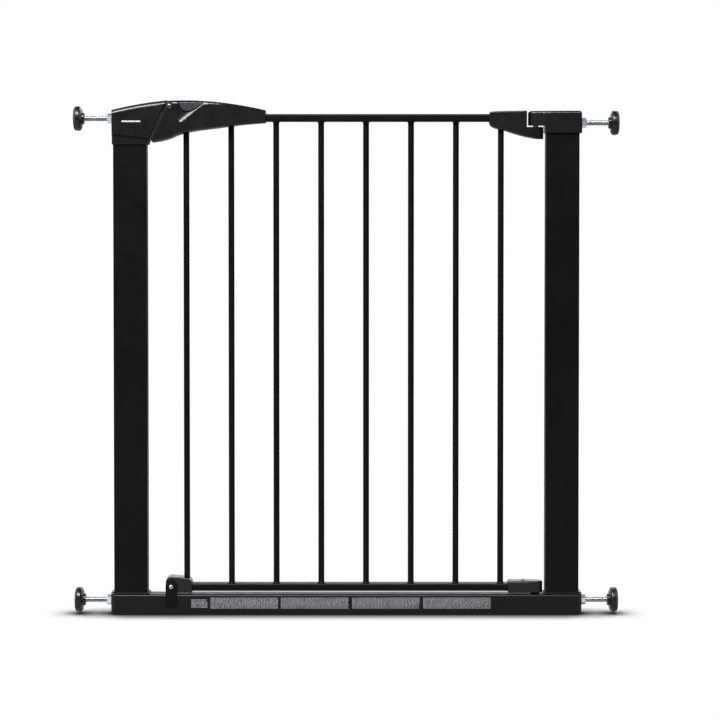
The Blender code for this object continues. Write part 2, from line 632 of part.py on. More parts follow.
def bolt_ramp():
    """The bolt's ramp: its half thickness at the deep and the high end, and where the deep end lies."""
    travel = BUTTON_TRAVEL * BOLT_RATIO
    deep = WEDGE_DEEP - travel / BOLT_RATIO
    high = WEDGE_DEEP + (WEDGE_RIGHT - WEDGE_LEFT) / BOLT_RATIO
    return deep, high, WEDGE_LEFT - travel


def buttons():
    outline = button_outline()
    middle = RAIL_MIDDLE + (BOLT_LOW + BOLT_TOP) / 2
    high = bolt_ramp()[1]
    bands = {"front": (middle + GAP, RAIL_MIDDLE + BOLT_TOP - 0.5 * MM),
             "rear": (RAIL_MIDDLE + BUTTON_LOW + 1.6 * MM, middle - GAP)}
    for name, side in (("front", -1), ("rear", 1)):
        face = HANDLE_HALF - 0.3 * MM
        inner = face - BUTTON_THICKNESS
        button = half_shell(f"{name}_button", outline, side, face, 0.8 * MM, side * inner,
                            "black_plastic", steps=1)
        z0, z1 = bands[name]
        wedge = [(WEDGE_LEFT, inner + 1 * MM), (WEDGE_LEFT, WEDGE_DEEP + GAP), (WEDGE_RIGHT, high + GAP),
                 (WEDGE_RIGHT, inner + 1 * MM)]
        add(button, loft(f"{name}_wedge", [[(LEFT_FACE + x, side * y, z) for x, y in wedge]
                                           for z in (z0, z1)]))


def latch_bolt():
    """The bolt: bevelled at the front of its tip, and ramped for one button above and the other below."""
    deep, high, ramp_start = bolt_ramp()
    step = ramp_start - 0.8 * MM
    middle = (BOLT_LOW + BOLT_TOP) / 2
    bevel = 6 * MM
    tip = [(BOLT_TIP, BOLT_HALF), (BOLT_TIP, -1 * MM), (BOLT_TIP + bevel, -BOLT_HALF)]
    upper = [*tip, (step, -BOLT_HALF), (step, -deep), (ramp_start, -deep), (WEDGE_RIGHT, -high),
             (BOLT_TAIL, -high), (BOLT_TAIL, BOLT_HALF)]
    lower = [*tip, (BOLT_TAIL, -BOLT_HALF), (BOLT_TAIL, high), (WEDGE_RIGHT, high), (ramp_start, deep),
             (step, deep), (step, BOLT_HALF)]
    bolt = loft("latch_bolt", [[(LEFT_FACE + x, y, RAIL_MIDDLE + z) for x, y in upper]
                               for z in (middle, BOLT_TOP)], "zinc_steel")
    add(bolt, loft("bolt_lower_half", [[(LEFT_FACE + x, y, RAIL_MIDDLE + z) for x, y in lower]
                                       for z in (BOLT_LOW, middle)]))
    coil("bolt_spring", "X", (0.0, RAIL_MIDDLE + middle), 3.2 * MM, 0.6 * MM,
         (LEFT_FACE + BOLT_TAIL + GAP, LEFT_FACE + SPRING_SEAT - GAP), 6, "spring_steel")


# ---------------------------------------------------------------- door

def door_frame():
    finish = "powder_coat"
    size = (RAIL_DEPTH, RAIL_HEIGHT)
    tube("top_rail", "X", (0.0, RAIL_MIDDLE), size, RAIL_WALL, 2.5 * MM,
         (TOP_RAIL_LEFT, TOP_RAIL_RIGHT), finish)
    rail = tube("bottom_rail", "X", (0.0, BOTTOM_RAIL_LOW + RAIL_HEIGHT / 2), size, RAIL_WALL, 2.5 * MM,
                (BOTTOM_RAIL_LEFT, BOTTOM_RAIL_RIGHT), finish)
    cut(rail, cylinder("rail_screw_hole", "Z", (SHOE_SCREW_X, 0.0), SCREW_RADIUS + GAP,
                       (BOTTOM_RAIL_TOP - 3 * MM, BOTTOM_RAIL_TOP + 2 * MM), sides=12))
    outer = BAR_DIAMETER / 2
    inner = outer - BAR_WALL
    z0, z1 = BOTTOM_RAIL_TOP + GAP, TOP_RAIL_LOW - GAP
    for i in range(BAR_COUNT):
        turned(f"bar_{i + 1}", "Z", (FIRST_BAR_X + BAR_PITCH * i, 0.0),
               [(outer, z0), (outer, z1), (inner, z1), (inner, z0)], finish, closed=True)


def hinge_arm():
    """The door's upper hinge part: a moulding over the top rail's end, cut round about the hinge axis."""
    low = ARM_LOW - RAIL_MIDDLE
    crown = arc_through((-67.5 * MM, 9.0 * MM), (-40 * MM, 10.1 * MM), (HINGE_FACE - HINGE_X, 10.4 * MM), 4)
    underside = smooth_curve([(2 * MM, low), (-12.7 * MM, -27.9 * MM), (-29.5 * MM, -23.6 * MM),
                              (-46.3 * MM, -18.2 * MM), (-58 * MM, -15.4 * MM), (-65.7 * MM, -11.6 * MM),
                              (-68.2 * MM, -5 * MM)], 3)
    step = ARM_TOP - RAIL_MIDDLE
    points = [*crown, (HINGE_FACE - HINGE_X, step), (HINGE_RADIUS + 2 * MM, step),
              (HINGE_RADIUS + 2 * MM, low), *underside]
    outline = counter_clockwise(shifted(points, HINGE_X, RAIL_MIDDLE))
    depth = SHOE_HALF
    edge = 1.5 * MM
    rings = [(edge, -depth), (0.0, -depth + edge), (0.0, depth - edge), (edge, depth)]
    arm = loft("hinge_arm", [[(x, y, z) for x, z in inset(outline, shrink)] for shrink, y in rings],
               "black_plastic")
    plan = [(HINGE_X - 90 * MM, depth + 1 * MM), (HINGE_X - 90 * MM, -depth - 1 * MM),
            (HINGE_X - HINGE_RADIUS, -depth - 1 * MM),
            *arc((HINGE_X, 0.0), HINGE_RADIUS, 270, 450, 12), (HINGE_X - HINGE_RADIUS, depth + 1 * MM)]
    keep_inside(arm, loft("hinge_plan", [[(x, y, z) for x, y in plan]
                                         for z in (ARM_LOW - 5 * MM, CAP_TOP + 5 * MM)]))
    axis = (HINGE_X, 0.0)
    pocket = ARM_TOP - SPRING_POCKET
    cut(arm, rail_cutter("hinge_rail_pocket", HINGE_X - 90 * MM, TOP_RAIL_RIGHT + GAP, TOP_RAIL_LOW),
        bar_cutter("hinge_bar_hole", BAR_COUNT - 1, TOP_RAIL_LOW - 30 * MM, TOP_RAIL_LOW),
        cylinder("arm_pin_hole", "Z", axis, PIN_DIAMETER / 2 + GAP, (ARM_LOW + 3.4 * MM, ARM_TOP + 5 * MM)),
        cylinder("arm_spring_hole", "Z", axis, SPRING_OUTER + GAP, (pocket, ARM_TOP + 5 * MM)))
    coil("closing_spring", "Z", axis, SPRING_OUTER - SPRING_WIRE, SPRING_WIRE,
         (pocket + GAP, ARM_TOP - 1 * MM), 5, "spring_steel")


def lower_hinge_shoe():
    """The moulding on the bottom rail's right end that sits on the lower pin."""
    depth = SHOE_HALF
    left = HINGE_X - 40 * MM
    low = SHOE_LOW
    top = BOTTOM_RAIL_TOP + GAP + 3.5 * MM
    waist = HINGE_X - 12 * MM
    plan = counter_clockwise([(left, depth), (left, -depth), (waist, -depth),
                              *arc((HINGE_X, 0.0), HINGE_RADIUS, 285, 435, 10), (waist, depth)])
    sections = [(0.0, low), (0.0, top - 2.5 * MM), (1.0 * MM, top - 0.8 * MM), (2.6 * MM, top)]
    shoe = loft("lower_hinge_shoe", [[(x, y, z) for x, y in inset(plan, shrink)] for shrink, z in sections],
                "black_plastic")
    cut(shoe, rail_cutter("shoe_rail_pocket", left - 5 * MM, BOTTOM_RAIL_RIGHT + GAP, BOTTOM_RAIL_LOW),
        cylinder("shoe_pin_hole", "Z", (HINGE_X, 0.0), PIN_DIAMETER / 2 + GAP,
                 (low - 5 * MM, BOTTOM_RAIL_TOP)),
        cylinder("shoe_screw_hole", "Z", (SHOE_SCREW_X, 0.0), SCREW_RADIUS + GAP,
                 (BOTTOM_RAIL_TOP - 2 * MM, top + 2 * MM), sides=12))
    seat = top + GAP
    turned("shoe_screw", "Z", (SHOE_SCREW_X, 0.0),
           [(SCREW_RADIUS, BOTTOM_RAIL_LOW + 3 * MM), (SCREW_RADIUS, seat), (3 * MM, seat),
            (2.8 * MM, seat + 1 * MM), (1.8 * MM, seat + 1.7 * MM)], "zinc_steel", sides=12)


def latch_shoe():
    """The nose on the bottom rail's left end, round at the top over the stop ear."""
    left = LEFT_FACE + 26.5 * MM
    right = left + 38.4 * MM
    low = SHOE_LOW
    nose_radius = 8.4 * MM
    nose_top = BOTTOM_RAIL_TOP + 10.6 * MM
    nose = arc((left + nose_radius, nose_top - nose_radius), nose_radius, 180, 75, 7)
    outline = counter_clockwise([(right, low), (right, BOTTOM_RAIL_TOP + 1.6 * MM),
                                 (right - 2 * MM, BOTTOM_RAIL_TOP + 4.6 * MM), *reversed(nose), (left, low)])
    depth = SHOE_HALF
    edge = 1.2 * MM
    rings = [(edge, -depth), (0.0, -depth + edge), (0.0, depth - edge), (edge, depth)]
    shoe = loft("latch_shoe", [[(x, y, z) for x, z in inset(outline, shrink)] for shrink, y in rings],
                "black_plastic")
    cut(shoe, rail_cutter("latch_shoe_pocket", BOTTOM_RAIL_LEFT - GAP, right + 5 * MM, BOTTOM_RAIL_LOW),
        bar_cutter("latch_shoe_bar_hole", 0, BOTTOM_RAIL_TOP, nose_top + 5 * MM))


# ---------------------------------------------------------------- wall adjusters

def nut(name, side, seat, z):
    """A hexagon nut with chamfered corners, bored clear of the spindle."""
    corner = NUT_ACROSS_FLATS / math.sqrt(3)
    bore = SPINDLE_DIAMETER / 2 + 2 * GAP
    sides = 12
    rings = []
    for radius, along in ((bore, 0.0), (corner * 0.93, 0.0), (corner, 0.08), (corner, 0.92),
                          (corner * 0.93, 1.0), (bore, 1.0)):
        ring = []
        for i in range(sides):
            angle = math.tau * i / sides
            to_corner = angle % (math.pi / 3)
            flat = NUT_ACROSS_FLATS / 2 / math.cos(to_corner - math.pi / 6)
            reach = radius if radius == bore else min(radius, flat)
            ring.append((side * (seat + NUT_THICKNESS * along), reach * math.sin(angle),
                         z + reach * math.cos(angle)))
        rings.append(ring)
    loft(name, rings, "zinc_steel", closed=True)


def wall_adjuster(place, side, seat, z):
    """Spindle, nut, pad and rubber face. Seat is how far out the nut bears on the frame."""
    half = FRAME_WIDTH / 2
    outer_end = half + SPINDLE_PROUD
    inner_end = outer_end - SPINDLE_LENGTH
    radius = SPINDLE_DIAMETER / 2
    chamfer = 0.8 * MM

    def along(profile):
        return [(r, side * x) for r, x in profile]

    turned(f"{place}_spindle", "X", (0.0, z),
           along([(radius - chamfer, inner_end), (radius, inner_end + chamfer),
                  (radius, outer_end - chamfer), (radius - chamfer, outer_end)]), "zinc_steel")
    nut(f"{place}_nut", side, seat + GAP, z)
    bore = radius + GAP
    hub = PAD_HUB_DIAMETER / 2
    disc = PAD_DIAMETER / 2
    back = outer_end - 7.7 * MM
    disc_back = back + PAD_HUB_LENGTH
    disc_front = disc_back + PAD_THICKNESS
    turned(f"{place}_wall_pad", "X", (0.0, z),
           along([(0.6 * MM, disc_front), (disc - 0.4 * MM, disc_front), (disc, disc_front - 1.2 * MM),
                  (disc, disc_back + 3 * MM), (disc - 1 * MM, disc_back + 1 * MM), (disc - 3 * MM, disc_back),
                  (hub, disc_back), (hub, back), (bore, back), (bore, outer_end + GAP),
                  (0.6 * MM, outer_end + GAP)]), "black_plastic")
    face = disc_front + GAP
    front = face + PAD_FACE_THICKNESS
    turned(f"{place}_pad_face", "X", (0.0, z),
           along([(disc - 0.6 * MM, face), (disc - 0.6 * MM, face + 0.8 * MM),
                  (disc - 1.6 * MM, front - 0.6 * MM), (disc - 3.2 * MM, front)]), "rubber")


def wall_adjusters():
    half = FRAME_WIDTH / 2
    housing_face = half + GAP + HOUSING_SIDE
    cap_face = half + GAP + CAP_SIDE
    end_face = half + GAP + END_CAP_FLANGE
    wall_adjuster("top_left", -1, housing_face, TOP_LEFT_SPINDLE_Z)
    wall_adjuster("top_right", 1, cap_face, TOP_RIGHT_SPINDLE_Z)
    wall_adjuster("bottom_left", -1, end_face, BOTTOM_SPINDLE_Z)
    wall_adjuster("bottom_right", 1, end_face, BOTTOM_SPINDLE_Z)
    inner, outer = SPINDLE_DIAMETER / 2 + GAP, BUSH_RADIUS
    for name, side, end, z in (("top_left_bush", -1, housing_face, TOP_LEFT_SPINDLE_Z),
                               ("top_right_bush", 1, cap_face, TOP_RIGHT_SPINDLE_Z)):
        x0, x1 = side * (half - 12 * MM), side * (end - GAP)
        turned(name, "X", (0.0, z), [(outer, x0), (outer, x1), (inner, x1), (inner, x0)], "black_plastic",
               closed=True)


clear_scene()
frame_tubes()
end_caps()
door_stop()
hinge_pins()
hinge_cap()
latch_housing()
handle()
buttons()
latch_bolt()
door_frame()
hinge_arm()
lower_hinge_shoe()
latch_shoe()
wall_adjusters()
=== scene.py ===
"""Looks of the pressure-fit safety gate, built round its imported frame.

Metres, in the frame's own axes: X along the gate, the front at -Y, +Z up.
"""
import math
import random

import bmesh
import bpy
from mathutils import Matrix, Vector


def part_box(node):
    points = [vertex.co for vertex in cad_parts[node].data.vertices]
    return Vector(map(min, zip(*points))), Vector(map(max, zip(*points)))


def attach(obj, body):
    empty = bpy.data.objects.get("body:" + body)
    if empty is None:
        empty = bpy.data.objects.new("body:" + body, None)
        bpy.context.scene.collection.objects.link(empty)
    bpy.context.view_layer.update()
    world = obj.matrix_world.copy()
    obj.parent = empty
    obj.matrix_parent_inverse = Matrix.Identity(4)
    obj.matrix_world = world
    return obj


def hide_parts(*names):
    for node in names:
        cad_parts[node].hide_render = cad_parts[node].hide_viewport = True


MM = 0.001

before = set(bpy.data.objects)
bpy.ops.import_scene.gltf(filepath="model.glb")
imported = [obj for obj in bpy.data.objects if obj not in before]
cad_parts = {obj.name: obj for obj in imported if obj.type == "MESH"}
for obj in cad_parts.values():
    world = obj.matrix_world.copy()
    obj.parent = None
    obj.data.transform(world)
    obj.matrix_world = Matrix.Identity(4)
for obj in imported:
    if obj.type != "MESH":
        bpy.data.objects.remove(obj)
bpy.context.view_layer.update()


# ---- places, read from the frame

def lowest(node):
    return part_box(node)[0]


def highest(node):
    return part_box(node)[1]


def middle(node):
    return (lowest(node) + highest(node)) / 2


def from_middle(node):
    """How far from the gate's middle the node starts and ends, along X."""
    return sorted(abs(c.x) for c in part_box(node))


def half_width(node):
    return (highest(node).x - lowest(node).x) / 2


def half_height(node):
    return (highest(node).z - lowest(node).z) / 2


HALF_WIDTH = highest("base_rail").x
LEFT_FACE = highest("left_post").x
RIGHT_FACE = lowest("right_post").x
POST_TOP = highest("left_post").z
POST_HALF = highest("left_post").y
BASE_TOP = highest("base_rail").z
BASE_HALF = highest("base_rail").y
RAIL_LOW = lowest("top_rail").z
RAIL_TOP = highest("top_rail").z
RAIL_MIDDLE = (RAIL_LOW + RAIL_TOP) / 2
RAIL_HALF = highest("top_rail").y
BOTTOM_RAIL_TOP = highest("bottom_rail").z
BAR_RADIUS = half_width("bar_1")
BARS = [middle(f"bar_{i}").x for i in range(1, 9)]
HINGE_X = middle("upper_hinge_pin").x
ARM_LOW = lowest("hinge_arm").z
CAP_TOP = highest("hinge_cap").z
SPINDLE_RADIUS = half_height("top_left_spindle")
PIN_RADIUS = half_width("upper_hinge_pin")
HALVES = (("front", -1), ("rear", 1))
PLACES = ("top_left", "top_right", "bottom_left", "bottom_right")

# Latch head, drawn from the left post's door-side face and the top rail's middle
HOUSING_HALF = highest("latch_housing_rear").y
HANDLE_HALF = highest("handle_rear").y
SKIRT_HALF = POST_HALF + 2.1 * MM
TIP_HALF = RAIL_HALF + 2.5 * MM
SLIT_LOW = (5.4 * MM, -30.9 * MM)
SLIT_TOP = (30.5 * MM, 25.0 * MM)
SLIT_HALF = 0.9 * MM
TAPER_START = 110.0 * MM
SHELL_WALL = 2.2 * MM
SPLIT = 0.15 * MM
GAP = 0.3 * MM
BUTTON_LEFT = 48.2 * MM
BUTTON_RIGHT = 83.0 * MM
BUTTON_TOP = 22.3 * MM
BUTTON_GAP = 0.5 * MM
PLUG = middle("handle_plug")
TUBE_CORNER = 2 * MM
FAR = 5 * MM        # how far a cutter runs past what it cuts
BAR_CUT = 30 * MM   # how far a bar's hole runs down from the top rail


# ---- materials

def fill(tree, node, **inputs):
    """Gives each named input its value, or links it when the value is another node's output."""
    for name, value in inputs.items():
        socket = node.inputs[name.replace("_", " ")]
        if isinstance(value, bpy.types.NodeSocket):
            tree.links.new(value, socket)
        else:
            socket.default_value = value
    return node


def new_node(tree, kind, **inputs):
    return fill(tree, tree.nodes.new("ShaderNode" + kind), **inputs)


def noise(tree, scale, detail):
    """A noise texture in the frame's own coordinates, with about this many features in a metre."""
    place = new_node(tree, "TexCoord").outputs["Object"]
    return new_node(tree, "TexNoise", Vector=place, Scale=scale, Detail=detail).outputs["Fac"]


def spread(tree, value, low, high, start=0.3, end=0.7):
    """The value's middle stretch, spread over another range."""
    node = new_node(tree, "MapRange", Value=value, From_Min=start, From_Max=end, To_Min=low, To_Max=high)
    return node.outputs["Result"]


def mixed(tree, factor, one, other):
    """Two colours mixed by a factor; each is a colour or another node's output."""
    node = new_node(tree, "Mix", Factor=factor)
    node.data_type = "RGBA"
    for socket, colour in ((node.inputs[6], one), (node.inputs[7], other)):
        if isinstance(colour, tuple):
            socket.default_value = (*colour, 1.0)
        else:
            tree.links.new(colour, socket)
    return node.outputs[2]


def new_material(name):
    made = bpy.data.materials.new(name)
    made.use_nodes = True
    return made, made.node_tree, made.node_tree.nodes["Principled BSDF"]


def surface(name, dark, light, roughness, metallic=0.0, specular=0.5, clouds=14.0, speck=None, grain=(),
            coat=0.0):
    """A material with cloudy colour and gloss, optional fine specks, and layers of fine relief.

    Grain is a list of (features in a metre, strength, depth); specks are (features in a metre, colour).
    """
    made, tree, shader = new_material(name)
    fill(tree, shader, Metallic=metallic, Specular_IOR_Level=specular, Coat_Weight=coat, Coat_Roughness=0.12)
    cloud = noise(tree, clouds, 4.0)
    colour = mixed(tree, spread(tree, cloud, 0.0, 1.0), dark, light)
    if speck:
        scale, tint = speck
        colour = mixed(tree, spread(tree, noise(tree, scale, 1.0), 0.0, 1.0, 0.62, 0.78), colour, tint)
    gloss = spread(tree, noise(tree, clouds * 6.0, 3.0), *roughness)
    relief = {}
    for scale, strength, depth in grain:
        node = new_node(tree, "Bump", Height=noise(tree, scale, 2.0), Strength=strength,
                        Distance=depth, **relief)
        relief = {"Normal": node.outputs["Normal"]}
    fill(tree, shader, Base_Color=colour, Roughness=gloss, **relief)
    return made


def powder_coat(name, specular):
    return surface(name, (0.0009, 0.0008, 0.0008), (0.0020, 0.0018, 0.0018), (0.36, 0.46), specular=specular,
                   clouds=11.0, speck=(2600.0, (0.006, 0.0057, 0.0057)),
                   grain=[(420.0, 0.10, 0.00025), (1500.0, 0.16, 0.00008)])


def zinc(name, dark, light, roughness, speck):
    return surface(name, dark, light, roughness, metallic=1.0, clouds=55.0, speck=(1800.0, speck),
                   grain=[(700.0, 0.05, 0.00010), (2600.0, 0.10, 0.00005)])


COAT = powder_coat("powder_coat_black", 0.08)
BASE_COAT = powder_coat("powder_coat_black_base", 0.17)
PLASTIC = surface(
    "moulded_plastic_black", (0.0016, 0.0016, 0.0023), (0.0030, 0.0030, 0.0041),
    (0.25, 0.33), specular=0.28, clouds=9.0, speck=(3400.0, (0.009, 0.009, 0.011)),
    grain=[(900.0, 0.06, 0.00010), (3200.0, 0.14, 0.00004)])
BUTTON_PLASTIC = surface(
    "moulded_plastic_graphite", (0.013, 0.014, 0.019), (0.019, 0.021, 0.028),
    (0.30, 0.40), specular=0.45, clouds=30.0, speck=(3000.0, (0.028, 0.031, 0.040)),
    grain=[(1200.0, 0.08, 0.00008), (3600.0, 0.16, 0.00004)])
GLOSSY_PLASTIC = surface(
    "polished_plastic_black", (0.006, 0.006, 0.007), (0.010, 0.010, 0.012),
    (0.10, 0.17), clouds=60.0, grain=[(700.0, 0.03, 0.00008)], coat=0.4)
ZINC = zinc("zinc_plated_steel", (0.26, 0.29, 0.31), (0.38, 0.41, 0.43), (0.24, 0.34), (0.20, 0.23, 0.25))
BRIGHT_ZINC = zinc(
    "bright_zinc_plated_steel", (0.56, 0.62, 0.66), (0.76, 0.81, 0.84), (0.28, 0.40),
    (0.48, 0.54, 0.58))
RUBBER = surface(
    "black_rubber", (0.013, 0.0125, 0.0125), (0.022, 0.021, 0.020), (0.66, 0.82),
    specular=0.3, clouds=40.0, speck=(1600.0, (0.045, 0.043, 0.041)),
    grain=[(600.0, 0.14, 0.00020), (2200.0, 0.25, 0.00008)])
SPRING = surface(
    "spring_steel_wire", (0.30, 0.30, 0.31), (0.46, 0.46, 0.47), (0.26, 0.40), metallic=1.0,
    clouds=120.0, grain=[(2400.0, 0.12, 0.00004)])
INK = surface(
    "pale_grey_print", (0.145, 0.152, 0.168), (0.215, 0.222, 0.238), (0.50, 0.66), specular=0.3,
    clouds=160.0, speck=(2400.0, (0.16, 0.165, 0.17)), grain=[(1800.0, 0.12, 0.00004)])
WHITE_INK = surface(
    "white_print", (0.24, 0.25, 0.26), (0.32, 0.33, 0.34), (0.46, 0.60), specular=0.3,
    clouds=160.0, grain=[(1800.0, 0.10, 0.00004)])


# ---- outlines

def arc(centre, radius, start, end, steps):
    """Points on a circle, angles in degrees."""
    angles = [math.radians(start + (end - start) * i / steps) for i in range(steps + 1)]
    return [(centre[0] + radius * math.cos(a), centre[1] + radius * math.sin(a)) for a in angles]


def arc_through(first, between, last, steps):
    """Points on the circle through three points, from the first to the last."""
    (ax, ay), (bx, by), (cx, cy) = first, between, last
    d = 2 * (ax * (by - cy) + bx * (cy - ay) + cx * (ay - by))
    a2, b2, c2 = ax * ax + ay * ay, bx * bx + by * by, cx * cx + cy * cy
    ox = (a2 * (by - cy) + b2 * (cy - ay) + c2 * (ay - by)) / d
    oy = (a2 * (cx - bx) + b2 * (ax - cx) + c2 * (bx - ax)) / d
    start = math.atan2(ay - oy, ax - ox)
    turn = (math.atan2(cy - oy, cx - ox) - start) % math.tau
    if (math.atan2(by - oy, bx - ox) - start) % math.tau > turn:
        turn -= math.tau
    radius = math.hypot(ax - ox, ay - oy)
    return arc((ox, oy), radius, math.degrees(start), math.degrees(start + turn), steps)


def smooth_curve(knots, steps):
    """A curve through the knots (Catmull-Rom), with this many steps between two knots."""
    ends = [knots[0], *knots, knots[-1]]
    points = []
    for i in range(1, len(ends) - 2):
        p0, p1, p2, p3 = ends[i - 1:i + 3]
        for k in range(steps):
            t = k / steps
            points.append(tuple(
                0.5 * (2 * b + (c - a) * t + (2 * a - 5 * b + 4 * c - d) * t * t
                       + (3 * b - a - 3 * c + d) * t ** 3)
                for a, b, c, d in zip(p0, p1, p2, p3)))
    return [*points, knots[-1]]


def rounded_rectangle(width, height, radius, steps=6, centre=(0.0, 0.0)):
    points = []
    for sx, sy, start in ((1, 1, 0), (-1, 1, 90), (-1, -1, 180), (1, -1, 270)):
        corner = (centre[0] + sx * (width / 2 - radius), centre[1] + sy * (height / 2 - radius))
        points += arc(corner, radius, start, start + 90, steps)
    return points


def edges(outline):
    """Each edge of a closed outline: its two ends and its length."""
    return [(one, other, math.dist(one, other)) for one, other in zip(outline, outline[1:] + outline[:1])]


def counter_clockwise(outline):
    area = sum(x0 * y1 - x1 * y0 for (x0, y0), (x1, y1), _ in edges(outline))
    return outline if area > 0 else outline[::-1]


def inset(outline, distances):
    """The counter-clockwise outline moved inwards. Distances is one number, or one for each edge."""
    if not isinstance(distances, list):
        distances = [distances] * len(outline)
    normals = []
    for (x0, y0), (x1, y1), length in edges(outline):
        normals.append(((y0 - y1) / length, (x1 - x0) / length))
    moved = []
    for i, (x, y) in enumerate(outline):
        (ax, ay), (bx, by) = normals[i - 1], normals[i]
        one, other = distances[i - 1], distances[i]
        cross = ax * by - ay * bx
        if abs(cross) > 0.25:
            moved.append((x + (one * by - other * ay) / cross, y + (other * ax - one * bx) / cross))
        else:
            share = (one + other) / 2 / (1 + ax * bx + ay * by)
            moved.append((x + (ax + bx) * share, y + (ay + by) * share))
    return moved


def in_mm(*points):
    return [(a * MM, b * MM) for a, b in points]


def shifted(outline, dx, dy):
    return [(x + dx, y + dy) for x, y in outline]


# ---- meshes

def placed(name, data):
    made = bpy.data.objects.new(name, data)
    bpy.context.collection.objects.link(made)
    return made


def add_object(name, bm, angle=32):
    bmesh.ops.recalc_face_normals(bm, faces=bm.faces)
    mesh = bpy.data.meshes.new(name)
    bm.to_mesh(mesh)
    bm.free()
    mesh.shade_smooth()
    mesh.set_sharp_from_angle(angle=math.radians(angle))
    return placed(name, mesh)


def loft(name, rings, closed=False, angle=32):
    """A closed surface through rings of equal count. Closed, the last ring joins the first."""
    bm = bmesh.new()
    loops = [[bm.verts.new(p) for p in ring] for ring in rings]
    pairs = list(zip(loops, loops[1:]))
    if closed:
        pairs.append((loops[-1], loops[0]))
    else:
        bm.faces.new(loops[0])
        bm.faces.new(loops[-1])
    for one, other in pairs:
        for i in range(len(one)):
            j = (i + 1) % len(one)
            bm.faces.new((one[i], one[j], other[j], other[i]))
    return add_object(name, bm, angle)


def point(axis, along, a, b):
    """A point at this distance along an axis, with the other two coordinates in cyclic order."""
    return {"X": (along, a, b), "Y": (b, along, a), "Z": (a, b, along)}[axis]


def turned(name, axis, centre, profile, closed=False, sides=48, wobble=None):
    """A turned solid from (radius, along) pairs. Wobble(angle, along) scales a radius."""
    rings = []
    for radius, along in profile:
        ring = []
        for i in range(sides):
            angle = math.tau * i / sides
            reach = radius * (wobble(angle, along) if wobble else 1.0)
            ring.append(point(axis, along, centre[0] + reach * math.cos(angle),
                              centre[1] + reach * math.sin(angle)))
        rings.append(ring)
    return loft(name, rings, closed)


def rounded_profile(profile, radius, steps=4):
    """The (radius, along) profile with its inner corners replaced by short arcs."""
    points = [profile[0]]
    for before, corner, after in zip(profile, profile[1:], profile[2:]):
        reach = []
        for other in (before, after):
            length = math.dist(corner, other)
            size = min(radius, length * 0.45)
            reach.append(tuple(c + (o - c) * size / length for c, o in zip(corner, other)))
        one, two = reach
        for k in range(steps + 1):
            t = k / steps
            points.append(tuple((1 - t) ** 2 * a + 2 * t * (1 - t) * c + t * t * b
                                for a, c, b in zip(one, corner, two)))
    return [*points, profile[-1]]


def dome(radius, base, top, step, count):
    """The (radius, along) profile of a dome, with points this many degrees apart."""
    return [(radius * math.cos(a), base + (top - base) * math.sin(a))
            for a in (math.radians(step * k) for k in range(count))]


def prism(name, plan, low, high):
    return loft(name, [[(x, y, z) for x, y in plan] for z in (low, high)])


def box(name, low, high):
    ring = [(low[0], low[1]), (high[0], low[1]), (high[0], high[1]), (low[0], high[1])]
    return prism(name, ring, low[2], high[2])


def stack(name, axis, plan, sections):
    """A plan raised along an axis through (inset, along) sections."""
    return loft(name, [[point(axis, along, a, b) for a, b in inset(plan, shrink)]
                       for shrink, along in sections])


def rounded_foot(radius, low, steps=3):
    """Sections for a stack's rounded lower rim."""
    return [(radius * (1 - math.sin(a)), low + radius * (1 - math.cos(a)))
            for a in (math.pi / 2 * k / steps for k in range(steps + 1))]


def rounded_top(radius, top, steps=6):
    """Sections for a stack's rounded upper rim."""
    return [(radius * (1 - math.cos(a)), top - radius * (1 - math.sin(a)))
            for a in (math.pi / 2 * k / steps for k in range(steps + 1))]


def plate_xz(name, outline, y0, y1, edge=0.0, steps=3):
    """An outline drawn in X and Z with a thickness in Y, and rounded rims when edge is given."""
    outline = counter_clockwise(outline)
    rings = []
    for y, inwards in ((y0, 1), (y1, -1)):
        rim = []
        for k in range(steps + 1 if edge else 1):
            angle = math.pi / 2 * k / steps
            rise = edge * (1 - math.cos(angle))
            rim.append([(x, y + inwards * rise, z)
                        for x, z in inset(outline, edge * (1 - math.sin(angle)))])
        rings += rim if inwards > 0 else rim[::-1]
    return loft(name, rings)


def tube(name, axis, centre, size, wall, radius, ends):
    """An open rectangular tube along an axis. Size is across, in the axis's cyclic order."""
    outer = rounded_rectangle(*size, radius, centre=centre)
    inner = rounded_rectangle(size[0] - 2 * wall, size[1] - 2 * wall, max(radius - wall, 0.4 * MM),
                              centre=centre)
    low, high = ends
    rings = [[point(axis, along, a, b) for a, b in outline]
             for outline, along in ((outer, low), (outer, high), (inner, high), (inner, low))]
    return loft(name, rings, closed=True)


def combine(target, others, operation):
    for other in others:
        step = target.modifiers.new("combine", "BOOLEAN")
        step.operation = operation
        step.solver = "EXACT"
        step.object = other
    old = target.data
    evaluated = target.evaluated_get(bpy.context.evaluated_depsgraph_get())
    target.data = bpy.data.meshes.new_from_object(evaluated)
    target.modifiers.clear()
    bpy.data.meshes.remove(old)
    for other in others:
        bpy.data.objects.remove(other, do_unlink=True)
    target.data.shade_smooth()
    target.data.set_sharp_from_angle(angle=math.radians(32))


def cut(target, *cutters):
    combine(target, cutters, "DIFFERENCE")


def add(target, *others):
    combine(target, others, "UNION")


def dress(obj, material, body, *nodes):
    """Gives a piece its material and body, and hides the CAD nodes it stands for."""
    obj.data.materials.clear()
    obj.data.materials.append(material)
    if obj.type == "MESH":
        weights = obj.modifiers.new("weighted_normals", "WEIGHTED_NORMAL")
        weights.keep_sharp = True
    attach(obj, body)
    if nodes:
        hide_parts(*nodes)
    return obj


